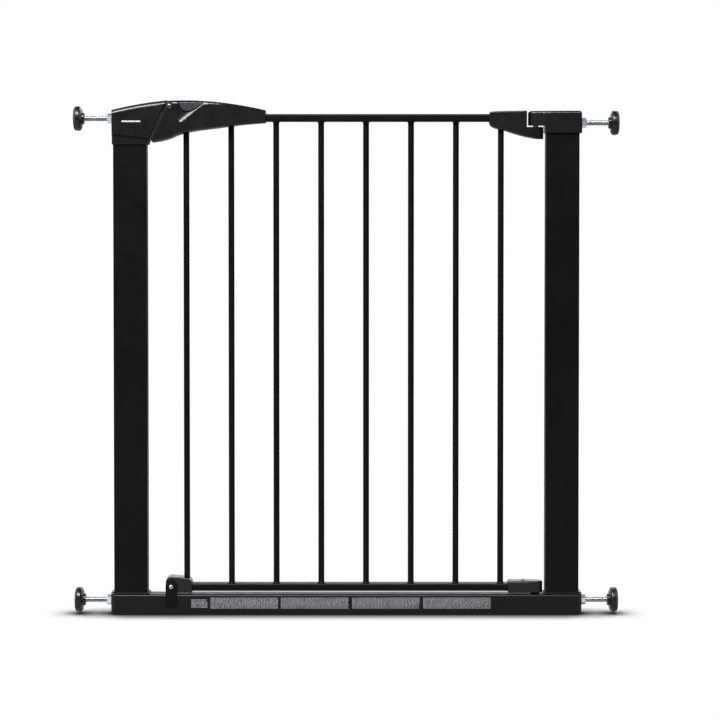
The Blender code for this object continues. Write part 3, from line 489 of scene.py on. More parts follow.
def half_shell(name, outline, radii, side, half_depth, back, steps=8):
    """Half of a rounded casing: an outline in X and Z with a rounded rim towards its flat face.

    Radii is the rim's radius, or one radius for each edge of the outline.
    """
    if not isinstance(radii, list):
        radii = [radii] * len(outline)
    largest = max(radii)
    rings = []
    for k in range(steps + 1):
        below = largest * (1 - math.cos(math.pi / 2 * k / steps))
        inward = [r - math.sqrt(max(r * r - max(r - below, 0.0) ** 2, 0.0)) for r in radii]
        rings.append([(x, side * (half_depth - below), z) for x, z in inset(outline, inward)])
    rings.append([(x, back, z) for x, z in outline])
    return loft(name, rings)


# ---- tubes, bars and welds

def weld_bead(name, path, z, size, ripple=1.6 * MM):
    """A rippled bead laid along a closed path in plan, at the foot of an upright piece."""
    points = []
    for (x0, y0), (x1, y1), length in edges(path):
        count = max(1, round(length / (ripple / 3)))
        points += [(x0 + (x1 - x0) * k / count, y0 + (y1 - y0) * k / count) for k in range(count)]
    cx, cy = (sum(values) / len(points) for values in zip(*points))
    rings = []
    for i, (x, y) in enumerate(points):
        (bx, by), (nx, ny) = points[i - 1], points[(i + 1) % len(points)]
        length = math.hypot(nx - bx, ny - by)
        outward = Vector(((ny - by) / length, (bx - nx) / length, 0.0))
        if outward.x * (x - cx) + outward.y * (y - cy) < 0:
            outward = -outward
        swell = size * (1 + 0.10 * math.sin(math.tau * i / 3) + 0.05 * math.sin(i * 0.37))
        foot, up = Vector((x, y, z)), Vector((0, 0, 1))
        rings.append([foot + outward * (swell * math.cos(a)) + up * (swell * math.sin(a))
                      for a in (math.tau * k / 8 for k in range(8))])
    return loft(name, rings, closed=True, angle=60)


def posts_and_base():
    wall = 1.5 * MM
    base = tube("fine_base_rail", "X", (0.0, BASE_TOP / 2), (2 * BASE_HALF, BASE_TOP), wall, 3 * MM,
                (-HALF_WIDTH, HALF_WIDTH))
    dress(base, BASE_COAT, "frame", "base_rail")
    for side in ("left", "right"):
        low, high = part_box(f"{side}_post")
        plate_low, plate_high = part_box(f"{side}_foot_plate")
        top = plate_high.z
        size = (high.x - low.x, high.y - low.y)
        centre = ((low.x + high.x) / 2, 0.0)
        post = tube(f"fine_{side}_post", "Z", centre, size, wall, TUBE_CORNER, (top, high.z))
        dress(post, COAT, "frame", f"{side}_post")
        plan = rounded_rectangle(plate_high.x - plate_low.x, plate_high.y - plate_low.y, TUBE_CORNER,
                                 centre=((plate_low.x + plate_high.x) / 2, 0.0))
        edge = 0.5 * MM
        sections = [(0.0, BASE_TOP), (0.0, top - edge), (0.3 * edge, top - 0.3 * edge), (edge, top)]
        plate = stack(f"fine_{side}_foot_plate", "Z", plan, sections)
        dress(plate, BASE_COAT, "frame", f"{side}_foot_plate")
        around = rounded_rectangle(*size, TUBE_CORNER, steps=3, centre=centre)
        dress(weld_bead(f"{side}_post_weld", around, top, 0.9 * MM), COAT, "frame")


def bars_and_rails():
    """Bars with a small weld flare at each end, between the two rails."""
    wall = 1.0 * MM
    flare = in_mm((1.7, 0.0), (1.1, 0.35), (0.55, 0.9), (0.18, 1.7), (0.0, 2.8))
    for i, x in enumerate(BARS):
        low, high = BOTTOM_RAIL_TOP, RAIL_LOW
        profile = [(BAR_RADIUS + out, low + up) for out, up in flare]
        profile += [(BAR_RADIUS, low + (high - low) * k / 8) for k in range(1, 8)]
        profile += [(BAR_RADIUS + out, high - up) for out, up in reversed(flare)]
        profile += [(BAR_RADIUS - wall, high), (BAR_RADIUS - wall, low)]

        def wobble(angle, along, turn=i * 1.3):
            near = max(0.0, 1 - min(along - low, high - along) / (2.5 * MM))
            return 1 + 0.035 * near * math.sin(7 * angle + turn) + 0.02 * near * math.sin(11 * angle - turn)

        bar = turned(f"fine_bar_{i + 1}", "Z", (x, 0.0), profile, closed=True, sides=40, wobble=wobble)
        dress(bar, COAT, "door", f"bar_{i + 1}")
    for node in ("top_rail", "bottom_rail"):
        low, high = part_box(node)
        rail = tube(f"fine_{node}", "X", (0.0, (low.z + high.z) / 2), (high.y - low.y, high.z - low.z),
                    1.2 * MM, 2.5 * MM, (low.x, high.x))
        dress(rail, COAT, "door", node)


# ---- latch head

def in_place(points):
    """Points drawn from the left post's face and the top rail's middle, counter-clockwise in X and Z."""
    return counter_clockwise(shifted(points, LEFT_FACE, RAIL_MIDDLE))


def edge_radii(outline, rule):
    """One rim radius for each edge of a placed outline, from a rule on the edge's middle and direction."""
    radii = []
    for (x0, z0), (x1, z1), length in edges(outline):
        u, w = (x0 + x1) / 2 - LEFT_FACE, (z0 + z1) / 2 - RAIL_MIDDLE
        radii.append(rule(u, w, (x1 - x0) / length, (z1 - z0) / length))
    return radii


def slit_edge(side):
    """The slit's low and top points, moved to the housing's side (-1) or the handle's side (1)."""
    dx, dz = SLIT_TOP[0] - SLIT_LOW[0], SLIT_TOP[1] - SLIT_LOW[1]
    length = math.hypot(dx, dz)
    nx, nz = side * SLIT_HALF * dz / length, -side * SLIT_HALF * dx / length
    return (SLIT_LOW[0] + nx, SLIT_LOW[1] + nz), (SLIT_TOP[0] + nx, SLIT_TOP[1] + nz)


def housing_outline():
    low, top = slit_edge(-1)
    left = lowest("latch_housing_front").x - LEFT_FACE
    crown = arc_through((left, 11.5 * MM), ((left + top[0]) / 2, 20.0 * MM), top, 6)
    return in_place([(left, -24.1 * MM), low, *reversed(crown)])


def housing_radius(u, w, along_x, along_z):
    if along_x < -0.5:
        return 7.5 * MM
    return 2.0 * MM if abs(along_z) > 0.8 else 0.8 * MM


def skirt_outline():
    left = lowest("latch_housing_front").x - LEFT_FACE + 0.3 * MM
    return in_place([(left, -39 * MM), *in_mm((1.7, -39), (4.3, -32.5), (4.3, -27)), (left, -22 * MM)])


def handle_outline():
    low, top = slit_edge(1)
    tip = highest("handle_front").x - LEFT_FACE
    tip_low = RAIL_LOW - RAIL_MIDDLE - GAP - 1.4 * MM
    crown = arc_through(top, ((top[0] + tip) / 2, 23.0 * MM), (tip, 10.8 * MM), 22)
    curve = in_mm((22, -33.2), (34, -29.8), (46.6, -24.4), (68.6, -19.2), (105, -14.4), (140, -9.8))
    underside = smooth_curve([(low[0] + 2.2 * MM, low[1] - 4.3 * MM), *curve, (tip, tip_low)], 5)
    return in_place([low, *underside, *reversed(crown)])


def handle_radius(u, w, along_x, along_z):
    if along_x < -0.5:
        return 6.0 * MM
    return 4.0 * MM if u < 30.5 * MM and w > -31.5 * MM and abs(along_z) > 0.8 else 3.0 * MM


def button_outline():
    """Flat at the top, steep at the left, and rising slowly to the right from its lowest point."""
    small, tight = 1.0 * MM, 0.9 * MM
    right = arc((BUTTON_RIGHT - tight, BUTTON_TOP - tight), tight, -55, 90, 6)
    left = arc((BUTTON_LEFT + small, BUTTON_TOP - small), small, 90, 191, 5)
    curve = in_mm((0.8, -4.1), (2.6, -8.0), (6.4, -11.5), (12.0, -12.8), (18.0, -11.6), (25.4, -7.9))
    belly = smooth_curve([left[-1], *shifted(curve, BUTTON_LEFT, BUTTON_TOP), right[0]], 4)
    return in_place([*belly, *right[1:], *left[:-1]])


def scoop_cutter(side):
    """The hollow round a button: steep walls at the left, and a slope that rises to a slanted ridge."""
    left, top = BUTTON_LEFT - 2.4 * MM, BUTTON_TOP + 0.6 * MM
    foot, head = (BUTTON_LEFT + 2.8 * MM, -6.9 * MM), (BUTTON_RIGHT + 4.6 * MM, BUTTON_TOP)
    corner = (left + 1.5 * MM, foot[1] + 1.2 * MM)
    slope = (head[1] - foot[1]) / (head[0] - foot[0])
    fall = (foot[1] - corner[1]) / (foot[0] - corner[0])
    rings = []
    for moved, deep in ((0.0, -2.0), (0.0, 0.0), (0.7, 0.5), (1.5, 1.06), (2.3, 1.56), (3.2, 2.04),
                        (4.3, 2.5), (5.6, 2.9), (7.4, 3.2), (10.0, 3.4)):
        rise = moved * MM * math.hypot(1.0, slope)

        def ridge(x, above=rise):
            return foot[1] + above + slope * (x - foot[0])

        x = max(foot[0] - rise / (slope - fall), corner[0] + 0.1 * MM)
        right = head[0] + (top - head[1] - rise) / slope
        outline = in_place([(left, top), (left, max(foot[1] + 3.6 * MM, ridge(left))),
                            (corner[0], max(corner[1], ridge(corner[0]))),
                            (x, max(foot[1] + fall * (x - foot[0]), ridge(x))), (right, top)])
        rings.append([(x, side * (HANDLE_HALF - deep * MM), z) for x, z in outline])
    return loft("scoop", rings)


def taper_cutter(side, inward):
    """What the handle loses towards its tip, where its face slants in to the rail."""
    start, end = LEFT_FACE + TAPER_START, highest("handle_front").x
    slope = (TIP_HALF - HANDLE_HALF) / (end - start)
    reach = 10 * MM
    face = HANDLE_HALF - inward
    bend = [(start - 24 * MM, face + 0.02 * MM), (start - 8 * MM, face - 0.25 * MM),
            (start + 8 * MM, face + slope * 14 * MM)]
    plan = [*bend, (end + reach, TIP_HALF - inward + slope * reach), (end + reach, HANDLE_HALF + reach),
            (start - 24 * MM, HANDLE_HALF + reach)]
    return prism("taper", [(x, side * y) for x, y in plan], RAIL_MIDDLE - 40 * MM, RAIL_MIDDLE + 40 * MM)


def rail_cutter(rail, x0, x1):
    low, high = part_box(rail)
    return box("rail_pocket", (x0, -RAIL_HALF - GAP, low.z - GAP), (x1, RAIL_HALF + GAP, high.z + GAP))


def hole(name, axis, centre, radius, low, high):
    return turned(name, axis, centre, [(radius + GAP, low), (radius + GAP, high)])


def bar_cutter(x, low, high):
    return hole("bar_hole", "Z", (x, 0.0), BAR_RADIUS, low, high)


def bolt_window(x0, x1):
    low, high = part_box("latch_bolt")
    return box("window", (x0, low.y - GAP, low.z - GAP), (x1, high.y + GAP, high.z + GAP))


def screw_seat(node):
    """The counterbore that a rear screw's head sits in."""
    head = middle(node)
    top = highest(node).y
    return turned("seat", "Y", (head.z, head.x), [(3.1 * MM, top - 3.2 * MM), (3.1 * MM, top - 0.2 * MM),
                                                  (3.5 * MM, top + 0.2 * MM), (3.5 * MM, top + 6 * MM)])


def cross_screw(node, body, axis="Y"):
    """A pan-head screw with a cross recess, at a CAD screw's place."""
    low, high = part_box(node)
    centre = middle(node)
    radius, shank = half_width(node), 1.5 * MM
    if axis == "Y":
        place, start, end = (centre.z, centre.x), low.y, high.y
    else:
        place, start, end = (centre.x, centre.y), low.z, high.z
    under_head, shoulder = end - 1.5 * MM, end - 0.93 * MM
    profile = [(shank, start), (shank, under_head), (radius, under_head), *dome(radius, shoulder, end, 18, 5)]
    screw = turned(f"fine_{node}", axis, place, profile, sides=40)
    arm, half, deep = radius * 0.58, 0.42 * MM, 1.1 * MM
    for a, b in ((arm, half), (half, arm)):
        corners = [point(axis, end + s * deep, place[0] + s * a, place[1] + s * b) for s in (-1, 1)]
        cut(screw, box("recess", *corners))
    dress(screw, ZINC, body, node)


def casing(node, outline, rule, side, half):
    """Half of a latch casing, and the solid that hollows it out."""
    shell = half_shell(f"fine_{node}", outline, edge_radii(outline, rule), side, half, side * SPLIT)
    hollow = half_shell("hollow", inset(outline, SHELL_WALL), 1.5 * MM, side, half - SHELL_WALL,
                        -side * MM, steps=2)
    return shell, hollow


def latch_housing():
    outline = housing_outline()
    skirt = skirt_outline()
    low_post, high_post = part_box("left_post")
    spindle_z = middle("top_left_spindle").z
    for name, side in HALVES:
        node = f"latch_housing_{name}"
        shell, hollow = casing(node, outline, housing_radius, side, HOUSING_HALF)
        add(shell, half_shell("skirt", skirt, 0.9 * MM, side, SKIRT_HALF, side * SPLIT, steps=4))
        cut(shell, hollow,
            box("pocket", (low_post.x - GAP, -POST_HALF - GAP, RAIL_MIDDLE - 60 * MM),
                (high_post.x + GAP, POST_HALF + GAP, POST_TOP + GAP)),
            hole("bush_hole", "X", (0.0, spindle_z), half_height("top_left_bush"),
                 low_post.x - 2 * FAR, low_post.x + FAR),
            bolt_window(LEFT_FACE + 10 * MM, LEFT_FACE + SLIT_TOP[0]))
        if side > 0:
            cut(shell, screw_seat("latch_housing_screw"))
        dress(shell, PLASTIC, "frame", node)
    cross_screw("latch_housing_screw", "frame")


def handle():
    outline = handle_outline()
    plug_seat = -HANDLE_HALF + 0.9 * MM
    for name, side in HALVES:
        node = f"handle_{name}"
        shell, hollow = casing(node, outline, handle_radius, side, HANDLE_HALF)
        cut(hollow, taper_cutter(side, SHELL_WALL))
        cut(shell, taper_cutter(side, 0.0), hollow)
        left, right, top = BUTTON_LEFT - 4.5 * MM, BUTTON_RIGHT + 8 * MM, BUTTON_TOP + MM
        backing = in_place([(left, -12 * MM), (BUTTON_LEFT + 7 * MM, -12 * MM), (right, top - 4 * MM),
                            (right, top), (left, top)])
        reach = sorted((side * (HANDLE_HALF - 2.1 * MM), side * (HANDLE_HALF - 5.2 * MM)))
        add(shell, plate_xz("backing", backing, *reach))
        opening = inset(button_outline(), -BUTTON_GAP)
        depth = sorted((side * 8 * MM, side * (HANDLE_HALF + 3 * MM)))
        cut(shell,
            scoop_cutter(side),
            plate_xz("button_hole", opening, *depth),
            rail_cutter("top_rail", lowest("top_rail").x + 60 * MM, highest("handle_front").x + FAR),
            bolt_window(LEFT_FACE + SLIT_LOW[0], LEFT_FACE + SLIT_TOP[0] + 8 * MM),
            *[bar_cutter(x, RAIL_LOW - BAR_CUT, RAIL_LOW) for x in BARS[:2]])
        if side < 0:
            cut(shell, turned("plug_recess", "Y", (PLUG.z, PLUG.x),
                              [(6.0 * MM, -HANDLE_HALF - 2 * MM), (6.0 * MM, -HANDLE_HALF + 0.1 * MM),
                               (5.2 * MM, plug_seat)]))
        else:
            cut(shell, screw_seat("handle_screw_1"), screw_seat("handle_screw_2"))
        dress(shell, PLASTIC, "door", node)
    for i in (1, 2):
        cross_screw(f"handle_screw_{i}", "door")
    radius = half_width("handle_plug")
    plug = turned("fine_handle_plug", "Y", (PLUG.z, PLUG.x),
                  [(radius, plug_seat), *dome(radius, plug_seat - 0.8 * MM, lowest("handle_plug").y, 11, 8)])
    dress(plug, GLOSSY_PLASTIC, "door", "handle_plug")


def buttons():
    """D-shaped push buttons with soft rims and three low grip ribs."""
    outline = button_outline()
    for name, side in HALVES:
        node = f"{name}_button"
        face = HANDLE_HALF - 0.3 * MM
        button = half_shell(f"fine_{node}", outline, 0.7 * MM, side, face, side * (face - 3.4 * MM), steps=5)
        for k in (-1, 0, 1):
            x = LEFT_FACE + BUTTON_LEFT + (13.5 + 5.5 * k) * MM
            length = 5.4 * MM - abs(k) * 0.6 * MM
            rib = rounded_rectangle(0.9 * MM, length, 0.44 * MM, steps=4, centre=(x, RAIL_MIDDLE + 17.6 * MM))
            ends = sorted((side * (face - 0.5 * MM), side * (face + 0.28 * MM)))
            add(button, plate_xz("rib", rib, *ends, edge=0.2 * MM))
        dress(button, BUTTON_PLASTIC, node, node)


# ---- hinge

def hinge_cap():
    low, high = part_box("hinge_cap")
    arm_radius = HINGE_X - low.x
    start = RIGHT_FACE - 1.7 * MM
    outer, depth = high.x, high.y
    corner = 3 * MM
    swell = [(start + (1.5 * k - 3) * MM,
              arm_radius + (depth - arm_radius) * (0.5 - 0.5 * math.cos(math.pi * k / 6))) for k in range(7)]
    plan = [*arc((HINGE_X, 0.0), arm_radius, 90, 270, 32), *[(x, -y) for x, y in swell],
            *arc((outer - corner, -depth + corner), corner, 270, 360, 8),
            *arc((outer - corner, depth - corner), corner, 0, 90, 8),
            *reversed(swell)]
    arm_low = RAIL_MIDDLE - 10.9 * MM
    cap = stack("fine_hinge_cap", "Z", plan,
                [*rounded_foot(0.7 * MM, arm_low), *rounded_top(4.2 * MM, CAP_TOP, steps=8)])
    sleeve = rounded_rectangle(outer - start, 2 * depth, 1.6 * MM, centre=((outer + start) / 2, 0.0))
    lip = 0.6 * MM
    add(cap, stack("sleeve", "Z", sleeve, [(lip, low.z), (0.2 * lip, low.z + 0.3 * lip), (0.0, low.z + lip),
                                           (0.0, arm_low + 6 * MM)]))
    cut(cap,
        box("pocket", (RIGHT_FACE - GAP, -POST_HALF - GAP, low.z - FAR),
            (HALF_WIDTH + GAP, POST_HALF + GAP, POST_TOP + GAP)),
        hole("pin_hole", "Z", (HINGE_X, 0.0), PIN_RADIUS, arm_low - FAR, CAP_TOP - 2.7 * MM),
        hole("bush_hole", "X", (0.0, middle("top_right_spindle").z), half_height("top_right_bush"),
             HALF_WIDTH - FAR, outer + FAR))
    dress(cap, PLASTIC, "frame", "hinge_cap")


def hinge_arm():
    """The door's upper hinge part, moulded over the top rail's end and round about the hinge axis."""
    face = highest("top_rail").x + 1.6 * MM - HINGE_X
    radius = highest("hinge_arm").x - HINGE_X
    depth = highest("hinge_arm").y
    step = -13.3 * MM
    low = ARM_LOW - RAIL_MIDDLE
    crown = arc_through((-67.5 * MM, 9.0 * MM), (-40 * MM, 10.1 * MM), (face, 10.4 * MM), 12)
    curve = in_mm((-12.7, -27.9), (-29.5, -23.6), (-46.3, -18.2), (-58, -15.4), (-65.7, -11.6), (-68.2, -5),
                  (-68.4, 3))
    underside = smooth_curve([(2 * MM, low), *curve], 5)
    points = [*crown, (face, step), (radius + 2 * MM, step), (radius + 2 * MM, low), *underside]
    arm = plate_xz("fine_hinge_arm", shifted(points, HINGE_X, RAIL_MIDDLE), -depth, depth,
                   edge=2.2 * MM, steps=6)
    reach, left = depth + 1 * MM, HINGE_X - 90 * MM
    plan = [(left, reach), (left, -reach), (HINGE_X - radius, -reach),
            *arc((HINGE_X, 0.0), radius, 270, 450, 32), (HINGE_X - radius, reach)]
    combine(arm, [prism("plan", plan, ARM_LOW - FAR, CAP_TOP + FAR)], "INTERSECT")
    top = RAIL_MIDDLE + step
    cut(arm, rail_cutter("top_rail", left, highest("top_rail").x + GAP),
        bar_cutter(BARS[-1], RAIL_LOW - BAR_CUT, RAIL_LOW),
        hole("pin_hole", "Z", (HINGE_X, 0.0), PIN_RADIUS, ARM_LOW + 3.4 * MM, top + FAR),
        hole("spring_hole", "Z", (HINGE_X, 0.0), half_width("closing_spring"), top - 11.5 * MM, top + FAR))
    dress(arm, PLASTIC, "door", "hinge_arm")


def hinge_pins():
    radius, chamfer, collar_height = PIN_RADIUS, 0.6 * MM, 1.4 * MM
    low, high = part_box("upper_hinge_pin")
    upper = turned("fine_upper_hinge_pin", "Z", (HINGE_X, 0.0),
                   [(radius - chamfer, low.z), (radius, low.z + chamfer), (radius, high.z)])
    dress(upper, ZINC, "frame", "upper_hinge_pin")
    low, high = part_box("lower_hinge_pin")
    lower = turned("fine_lower_hinge_pin", "Z", (HINGE_X, 0.0),
                   [(radius, low.z), (radius, high.z - chamfer), (radius - chamfer, high.z)])
    dress(lower, ZINC, "frame", "lower_hinge_pin")
    collar, seat = half_width("lower_hinge_pin"), BASE_TOP + GAP
    profile = rounded_profile([(radius, seat), (collar, seat), (collar, seat + collar_height),
                               (radius, seat + collar_height)], 0.25 * MM)
    dress(turned("lower_pin_collar", "Z", (HINGE_X, 0.0), profile), COAT, "frame")


def lower_hinge_shoe():
    low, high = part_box("lower_hinge_shoe")
    radius = high.x - HINGE_X
    waist = HINGE_X - 12 * MM
    corner = 3 * MM
    plan = [*arc((low.x + corner, high.y - corner), corner, 90, 180, 6),
            *arc((low.x + corner, low.y + corner), corner, 180, 270, 6), (waist, low.y),
            *arc((HINGE_X, 0.0), radius, 285, 435, 28), (waist, high.y)]
    shoe = stack("fine_lower_hinge_shoe", "Z", plan,
                 [*rounded_foot(0.6 * MM, low.z), *rounded_top(2.8 * MM, high.z)])
    screw = middle("shoe_screw")
    cut(shoe,
        rail_cutter("bottom_rail", low.x - FAR, highest("bottom_rail").x + GAP),
        hole("pin_hole", "Z", (HINGE_X, 0.0), PIN_RADIUS, low.z - FAR, BOTTOM_RAIL_TOP),
        hole("screw_hole", "Z", (screw.x, screw.y), 1.5 * MM, BOTTOM_RAIL_TOP - 2 * MM, high.z + 2 * MM))
    dress(shoe, PLASTIC, "door", "lower_hinge_shoe")
    cross_screw("shoe_screw", "door", axis="Z")


def latch_shoe():
    """The nose on the bottom rail's left end, round at the top and falling to its right end."""
    low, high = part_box("latch_shoe")
    nose = 8.4 * MM
    crown = arc((low.x + nose, high.z - nose), nose, 180, 80, 16)
    fall = smooth_curve([crown[-1], (low.x + 20 * MM, high.z - 0.9 * MM),
                         (high.x - 6.5 * MM, high.z - 2.6 * MM), (high.x - 1.8 * MM, high.z - 5.6 * MM),
                         (high.x, high.z - 9.0 * MM)], 5)
    outline = [(high.x, low.z), *reversed(fall), *reversed(crown[:-1]), (low.x, low.z)]
    shoe = plate_xz("fine_latch_shoe", outline, low.y, high.y, edge=1.6 * MM, steps=5)
    cut(shoe, rail_cutter("bottom_rail", lowest("bottom_rail").x - GAP, high.x + FAR),
        bar_cutter(BARS[0], BOTTOM_RAIL_TOP, high.z + FAR))
    dress(shoe, PLASTIC, "door", "latch_shoe")


def door_stop():
    """The ear on the base rail with its rolled rim, the dome rivet and the rubber block behind it."""
    low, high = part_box("stop_bracket")
    x, half = middle("stop_bracket").x, half_width("stop_bracket")
    lower_half = rounded_rectangle(2 * half, 6 * MM, 1.5 * MM, centre=(x, low.z + 3 * MM))[13:]
    outline = [*lower_half, *arc((x, high.z - half), half, 0, 180, 32)]
    ear = plate_xz("fine_stop_bracket", outline, low.y, high.y, edge=0.7 * MM, steps=4)
    rivet = middle("stop_rivet")
    dress(ear, COAT, "frame", "stop_bracket")
    seat_height, bore, shank = 0.35 * MM, 2.0 * MM, 1.6 * MM
    seat = turned("stop_rivet_seat", "Y", (rivet.z, x),
                  rounded_profile([(bore, low.y), (5.2 * MM, low.y), (4.8 * MM, low.y - seat_height),
                                   (bore, low.y - seat_height)], 0.2 * MM), closed=True)
    dress(seat, COAT, "frame")
    face, radius = low.y - GAP, half_width("stop_rivet")
    rivet_piece = turned("fine_stop_rivet", "Y", (rivet.z, x),
                         [(shank, highest("stop_rivet").y), (shank, face), (radius, face),
                          *dome(radius, face - seat_height, lowest("stop_rivet").y, 10, 9)])
    dress(rivet_piece, ZINC, "frame", "stop_rivet")
    low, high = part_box("stop_buffer")
    block = rounded_rectangle(high.x - low.x, high.z - low.z, 2 * MM, centre=(x, (low.z + high.z) / 2))
    dress(plate_xz("fine_stop_buffer", block, low.y, high.y, edge=0.5 * MM), RUBBER, "frame", "stop_buffer")


# ---- ends and wall adjusters

def end_caps():
    for side, sign in (("left", -1), ("right", 1)):
        low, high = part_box(f"{side}_end_cap")
        inner = HALF_WIDTH
        outer = from_middle(f"{side}_end_cap")[1]
        plan = rounded_rectangle(high.y - low.y, high.z - low.z, 4.2 * MM, steps=8,
                                 centre=(0.0, (low.z + high.z) / 2))
        edge, notch, reach = 0.3 * MM, 1.1 * MM, 2 * MM
        sections = [(edge, inner), (0.0, inner + edge), *rounded_top(1.3 * MM, outer)]
        cap = stack(f"fine_{side}_end_cap", "X", plan, [(shrink, sign * x) for shrink, x in sections])
        spindle_z = middle(f"bottom_{side}_spindle").z
        ends = sorted((sign * (inner - FAR), sign * (outer + FAR)))
        start, end = sorted((sign * inner, sign * (inner + reach)))
        cut(cap, hole("bore", "X", (0.0, spindle_z), SPINDLE_RADIUS, *ends),
            *[box("notch", (start - 0.01 * MM, -reach, z - notch), (end, reach, z + notch))
              for z in (high.z, low.z)])
        dress(cap, PLASTIC, "frame", f"{side}_end_cap")


def threaded_rod(place):
    """A rod with a rolled thread, chamfered at both ends."""
    node = f"{place}_spindle"
    low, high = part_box(node)
    z = middle(node).z
    pitch, depth, chamfer = 1.25 * MM, 0.5 * MM, 0.8 * MM
    steps_in_turn, sides = 6, 24
    count = round((high.x - low.x) / pitch * steps_in_turn)
    rings = []
    for k in range(count + 1):
        x = low.x + (high.x - low.x) * k / count
        end = min(x - low.x, high.x - x)
        ring = []
        for i in range(sides):
            phase = math.tau * (x / pitch - i / sides)
            radius = SPINDLE_RADIUS - depth * (0.5 - 0.5 * math.cos(phase)) ** 1.5
            radius = min(radius, SPINDLE_RADIUS - chamfer + end)
            angle = math.tau * i / sides
            ring.append((x, radius * math.cos(angle), z + radius * math.sin(angle)))
        rings.append(ring)
    dress(loft(f"fine_{node}", rings, angle=60), ZINC, node, node)


def hex_nut(place):
    """A hexagon nut with turned chamfers on its corners."""
    node = f"{place}_nut"
    low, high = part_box(node)
    z = middle(node).z
    flats = (high.y - low.y) / 2
    corner = flats / math.cos(math.pi / 6)
    bore = SPINDLE_RADIUS + 0.1 * MM
    edge = 0.9 * MM
    profile = [(bore, 0.0, 0), (flats * 0.97, 0.0, 0), (flats * 1.04, 0.12 * edge, 1), (corner, edge, 1)]
    rings = []
    width = high.x - low.x
    for radius, along, cornered in [*profile, *[(r, width - a, c) for r, a, c in reversed(profile)]]:
        ring = []
        for i in range(72):
            angle = math.tau * i / 72
            flat = flats / math.cos(angle % (math.pi / 3) - math.pi / 6)
            reach = min(radius, flat) if cornered else radius
            ring.append((low.x + along, reach * math.sin(angle), z + reach * math.cos(angle)))
        rings.append(ring)
    dress(loft(f"fine_{node}", rings, closed=True, angle=24), BRIGHT_ZINC, node, node)


def wall_pad(place, sign):
    """The swivelling cup on a spindle's end, with its ring step, and the ridged rubber face."""
    node = f"{place}_wall_pad"
    z = middle(node).z
    back, front = from_middle(node)
    disc = half_height(node)
    hub = 8.5 * MM
    shoulder = back + 3.2 * MM
    bore = SPINDLE_RADIUS + GAP
    outer_end = from_middle(f"{place}_spindle")[1] + GAP
    profile = rounded_profile([(bore, outer_end), (bore, back), (hub, back), (hub, shoulder),
                               (disc - 4.5 * MM, shoulder), (disc - 0.6 * MM, shoulder + 2.2 * MM),
                               (disc, shoulder + 4.0 * MM), (disc, front - 0.6 * MM),
                               (disc - 0.6 * MM, front), (0.6 * MM, front)], 0.7 * MM)
    profile += [(0.6 * MM, outer_end)]
    pad = turned(f"fine_{node}", "X", (0.0, z), [(r, sign * x) for r, x in profile], sides=72)
    dress(pad, PLASTIC, f"{place}_spindle", node)
    face_node = f"{place}_pad_face"
    start, end = from_middle(face_node)
    rubber = half_height(face_node)
    profile = [(rubber - 4 * MM, start), (rubber, start), (rubber, start + 0.9 * MM),
               (rubber - 0.5 * MM, start + 1.6 * MM),
               (rubber - 1.6 * MM, end - 0.5 * MM), (rubber - 2.8 * MM, end)]
    groove, deep = 0.5 * MM, 0.6 * MM
    for ring in (0.72, 0.52, 0.32):
        radius = rubber * ring
        profile += [(radius + groove, end), (radius, end - deep), (radius - groove, end)]
    profile += [(0.8 * MM, end)]
    face = turned(f"fine_{face_node}", "X", (0.0, z), [(r, sign * x) for r, x in profile], sides=72)
    dress(face, RUBBER, f"{place}_spindle", face_node)


def bush(place):
    node = f"{place}_bush"
    low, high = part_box(node)
    outer, inner, edge = half_height(node), SPINDLE_RADIUS + GAP, 0.3 * MM
    profile = [(outer, low.x + edge), (outer, high.x - edge), (outer - edge, high.x), (inner, high.x),
               (inner, low.x), (outer - edge, low.x)]
    dress(turned(f"fine_{node}", "X", (0.0, middle(node).z), profile, closed=True), PLASTIC, "frame", node)


def wall_adjusters():
    for place in PLACES:
        sign = -1 if place.endswith("left") else 1
        threaded_rod(place)
        hex_nut(place)
        wall_pad(place, sign)
    bush("top_left")
    bush("top_right")


# ---- print

def add_dash(bm, x0, x1, z, height, y, thickness):
    """A flat bar with round ends, standing a little proud of the surface behind it."""
    outline = rounded_rectangle(x1 - x0, height, height * 0.49, steps=2, centre=((x0 + x1) / 2, z))
    front = [bm.verts.new((x, y - thickness, h)) for x, h in outline]
    back = [bm.verts.new((x, y + thickness, h)) for x, h in outline]
    bm.faces.new(front)
    bm.faces.new(back)
    for i in range(len(front)):
        j = (i + 1) % len(front)
        bm.faces.new((front[i], front[j], back[j], back[i]))


def printed_panel(name, x0, x1, z0, z1, rows, seed):
    """A block of ruled rows, broken into bars of mixed length: a plain stand-in for printed notes."""
    draw = random.Random(seed)
    pitch = (z1 - z0) / rows
    bm = bmesh.new()
    for row in range(rows):
        z = z0 + (row + 0.5) * pitch
        x = x0
        while x < x1 - 1 * MM:
            end = min(x1, x + draw.uniform(1.2, 5.5) * MM)
            add_dash(bm, x, end, z, pitch * 0.56, -BASE_HALF, 0.05 * MM)
            x = end + draw.uniform(0.45, 0.9) * MM
    dress(add_object(name, bm), INK, "frame")


def prints():
    """Four ruled panels and a small block on the base rail's front, and a plain bar on the latch housing."""
    low, high, panel = 9.4 * MM, 25.8 * MM, 99.0 * MM
    for i, x in enumerate((-199.0 * MM, -96.0 * MM, 8.5 * MM, 112.5 * MM)):
        printed_panel(f"printed_panel_{i + 1}", x, x + panel, low, high, 10, seed=11 + i)
    printed_panel("printed_block", -227.0 * MM, -203.5 * MM, low + 1 * MM, high - 2.5 * MM, 7, seed=31)
    bm = bmesh.new()
    x = LEFT_FACE - 36.0 * MM
    add_dash(bm, x, x + 28.0 * MM, RAIL_MIDDLE - 5.5 * MM, 2.2 * MM, -HOUSING_HALF, 0.05 * MM)
    dress(add_object("housing_printed_bar", bm), WHITE_INK, "frame")


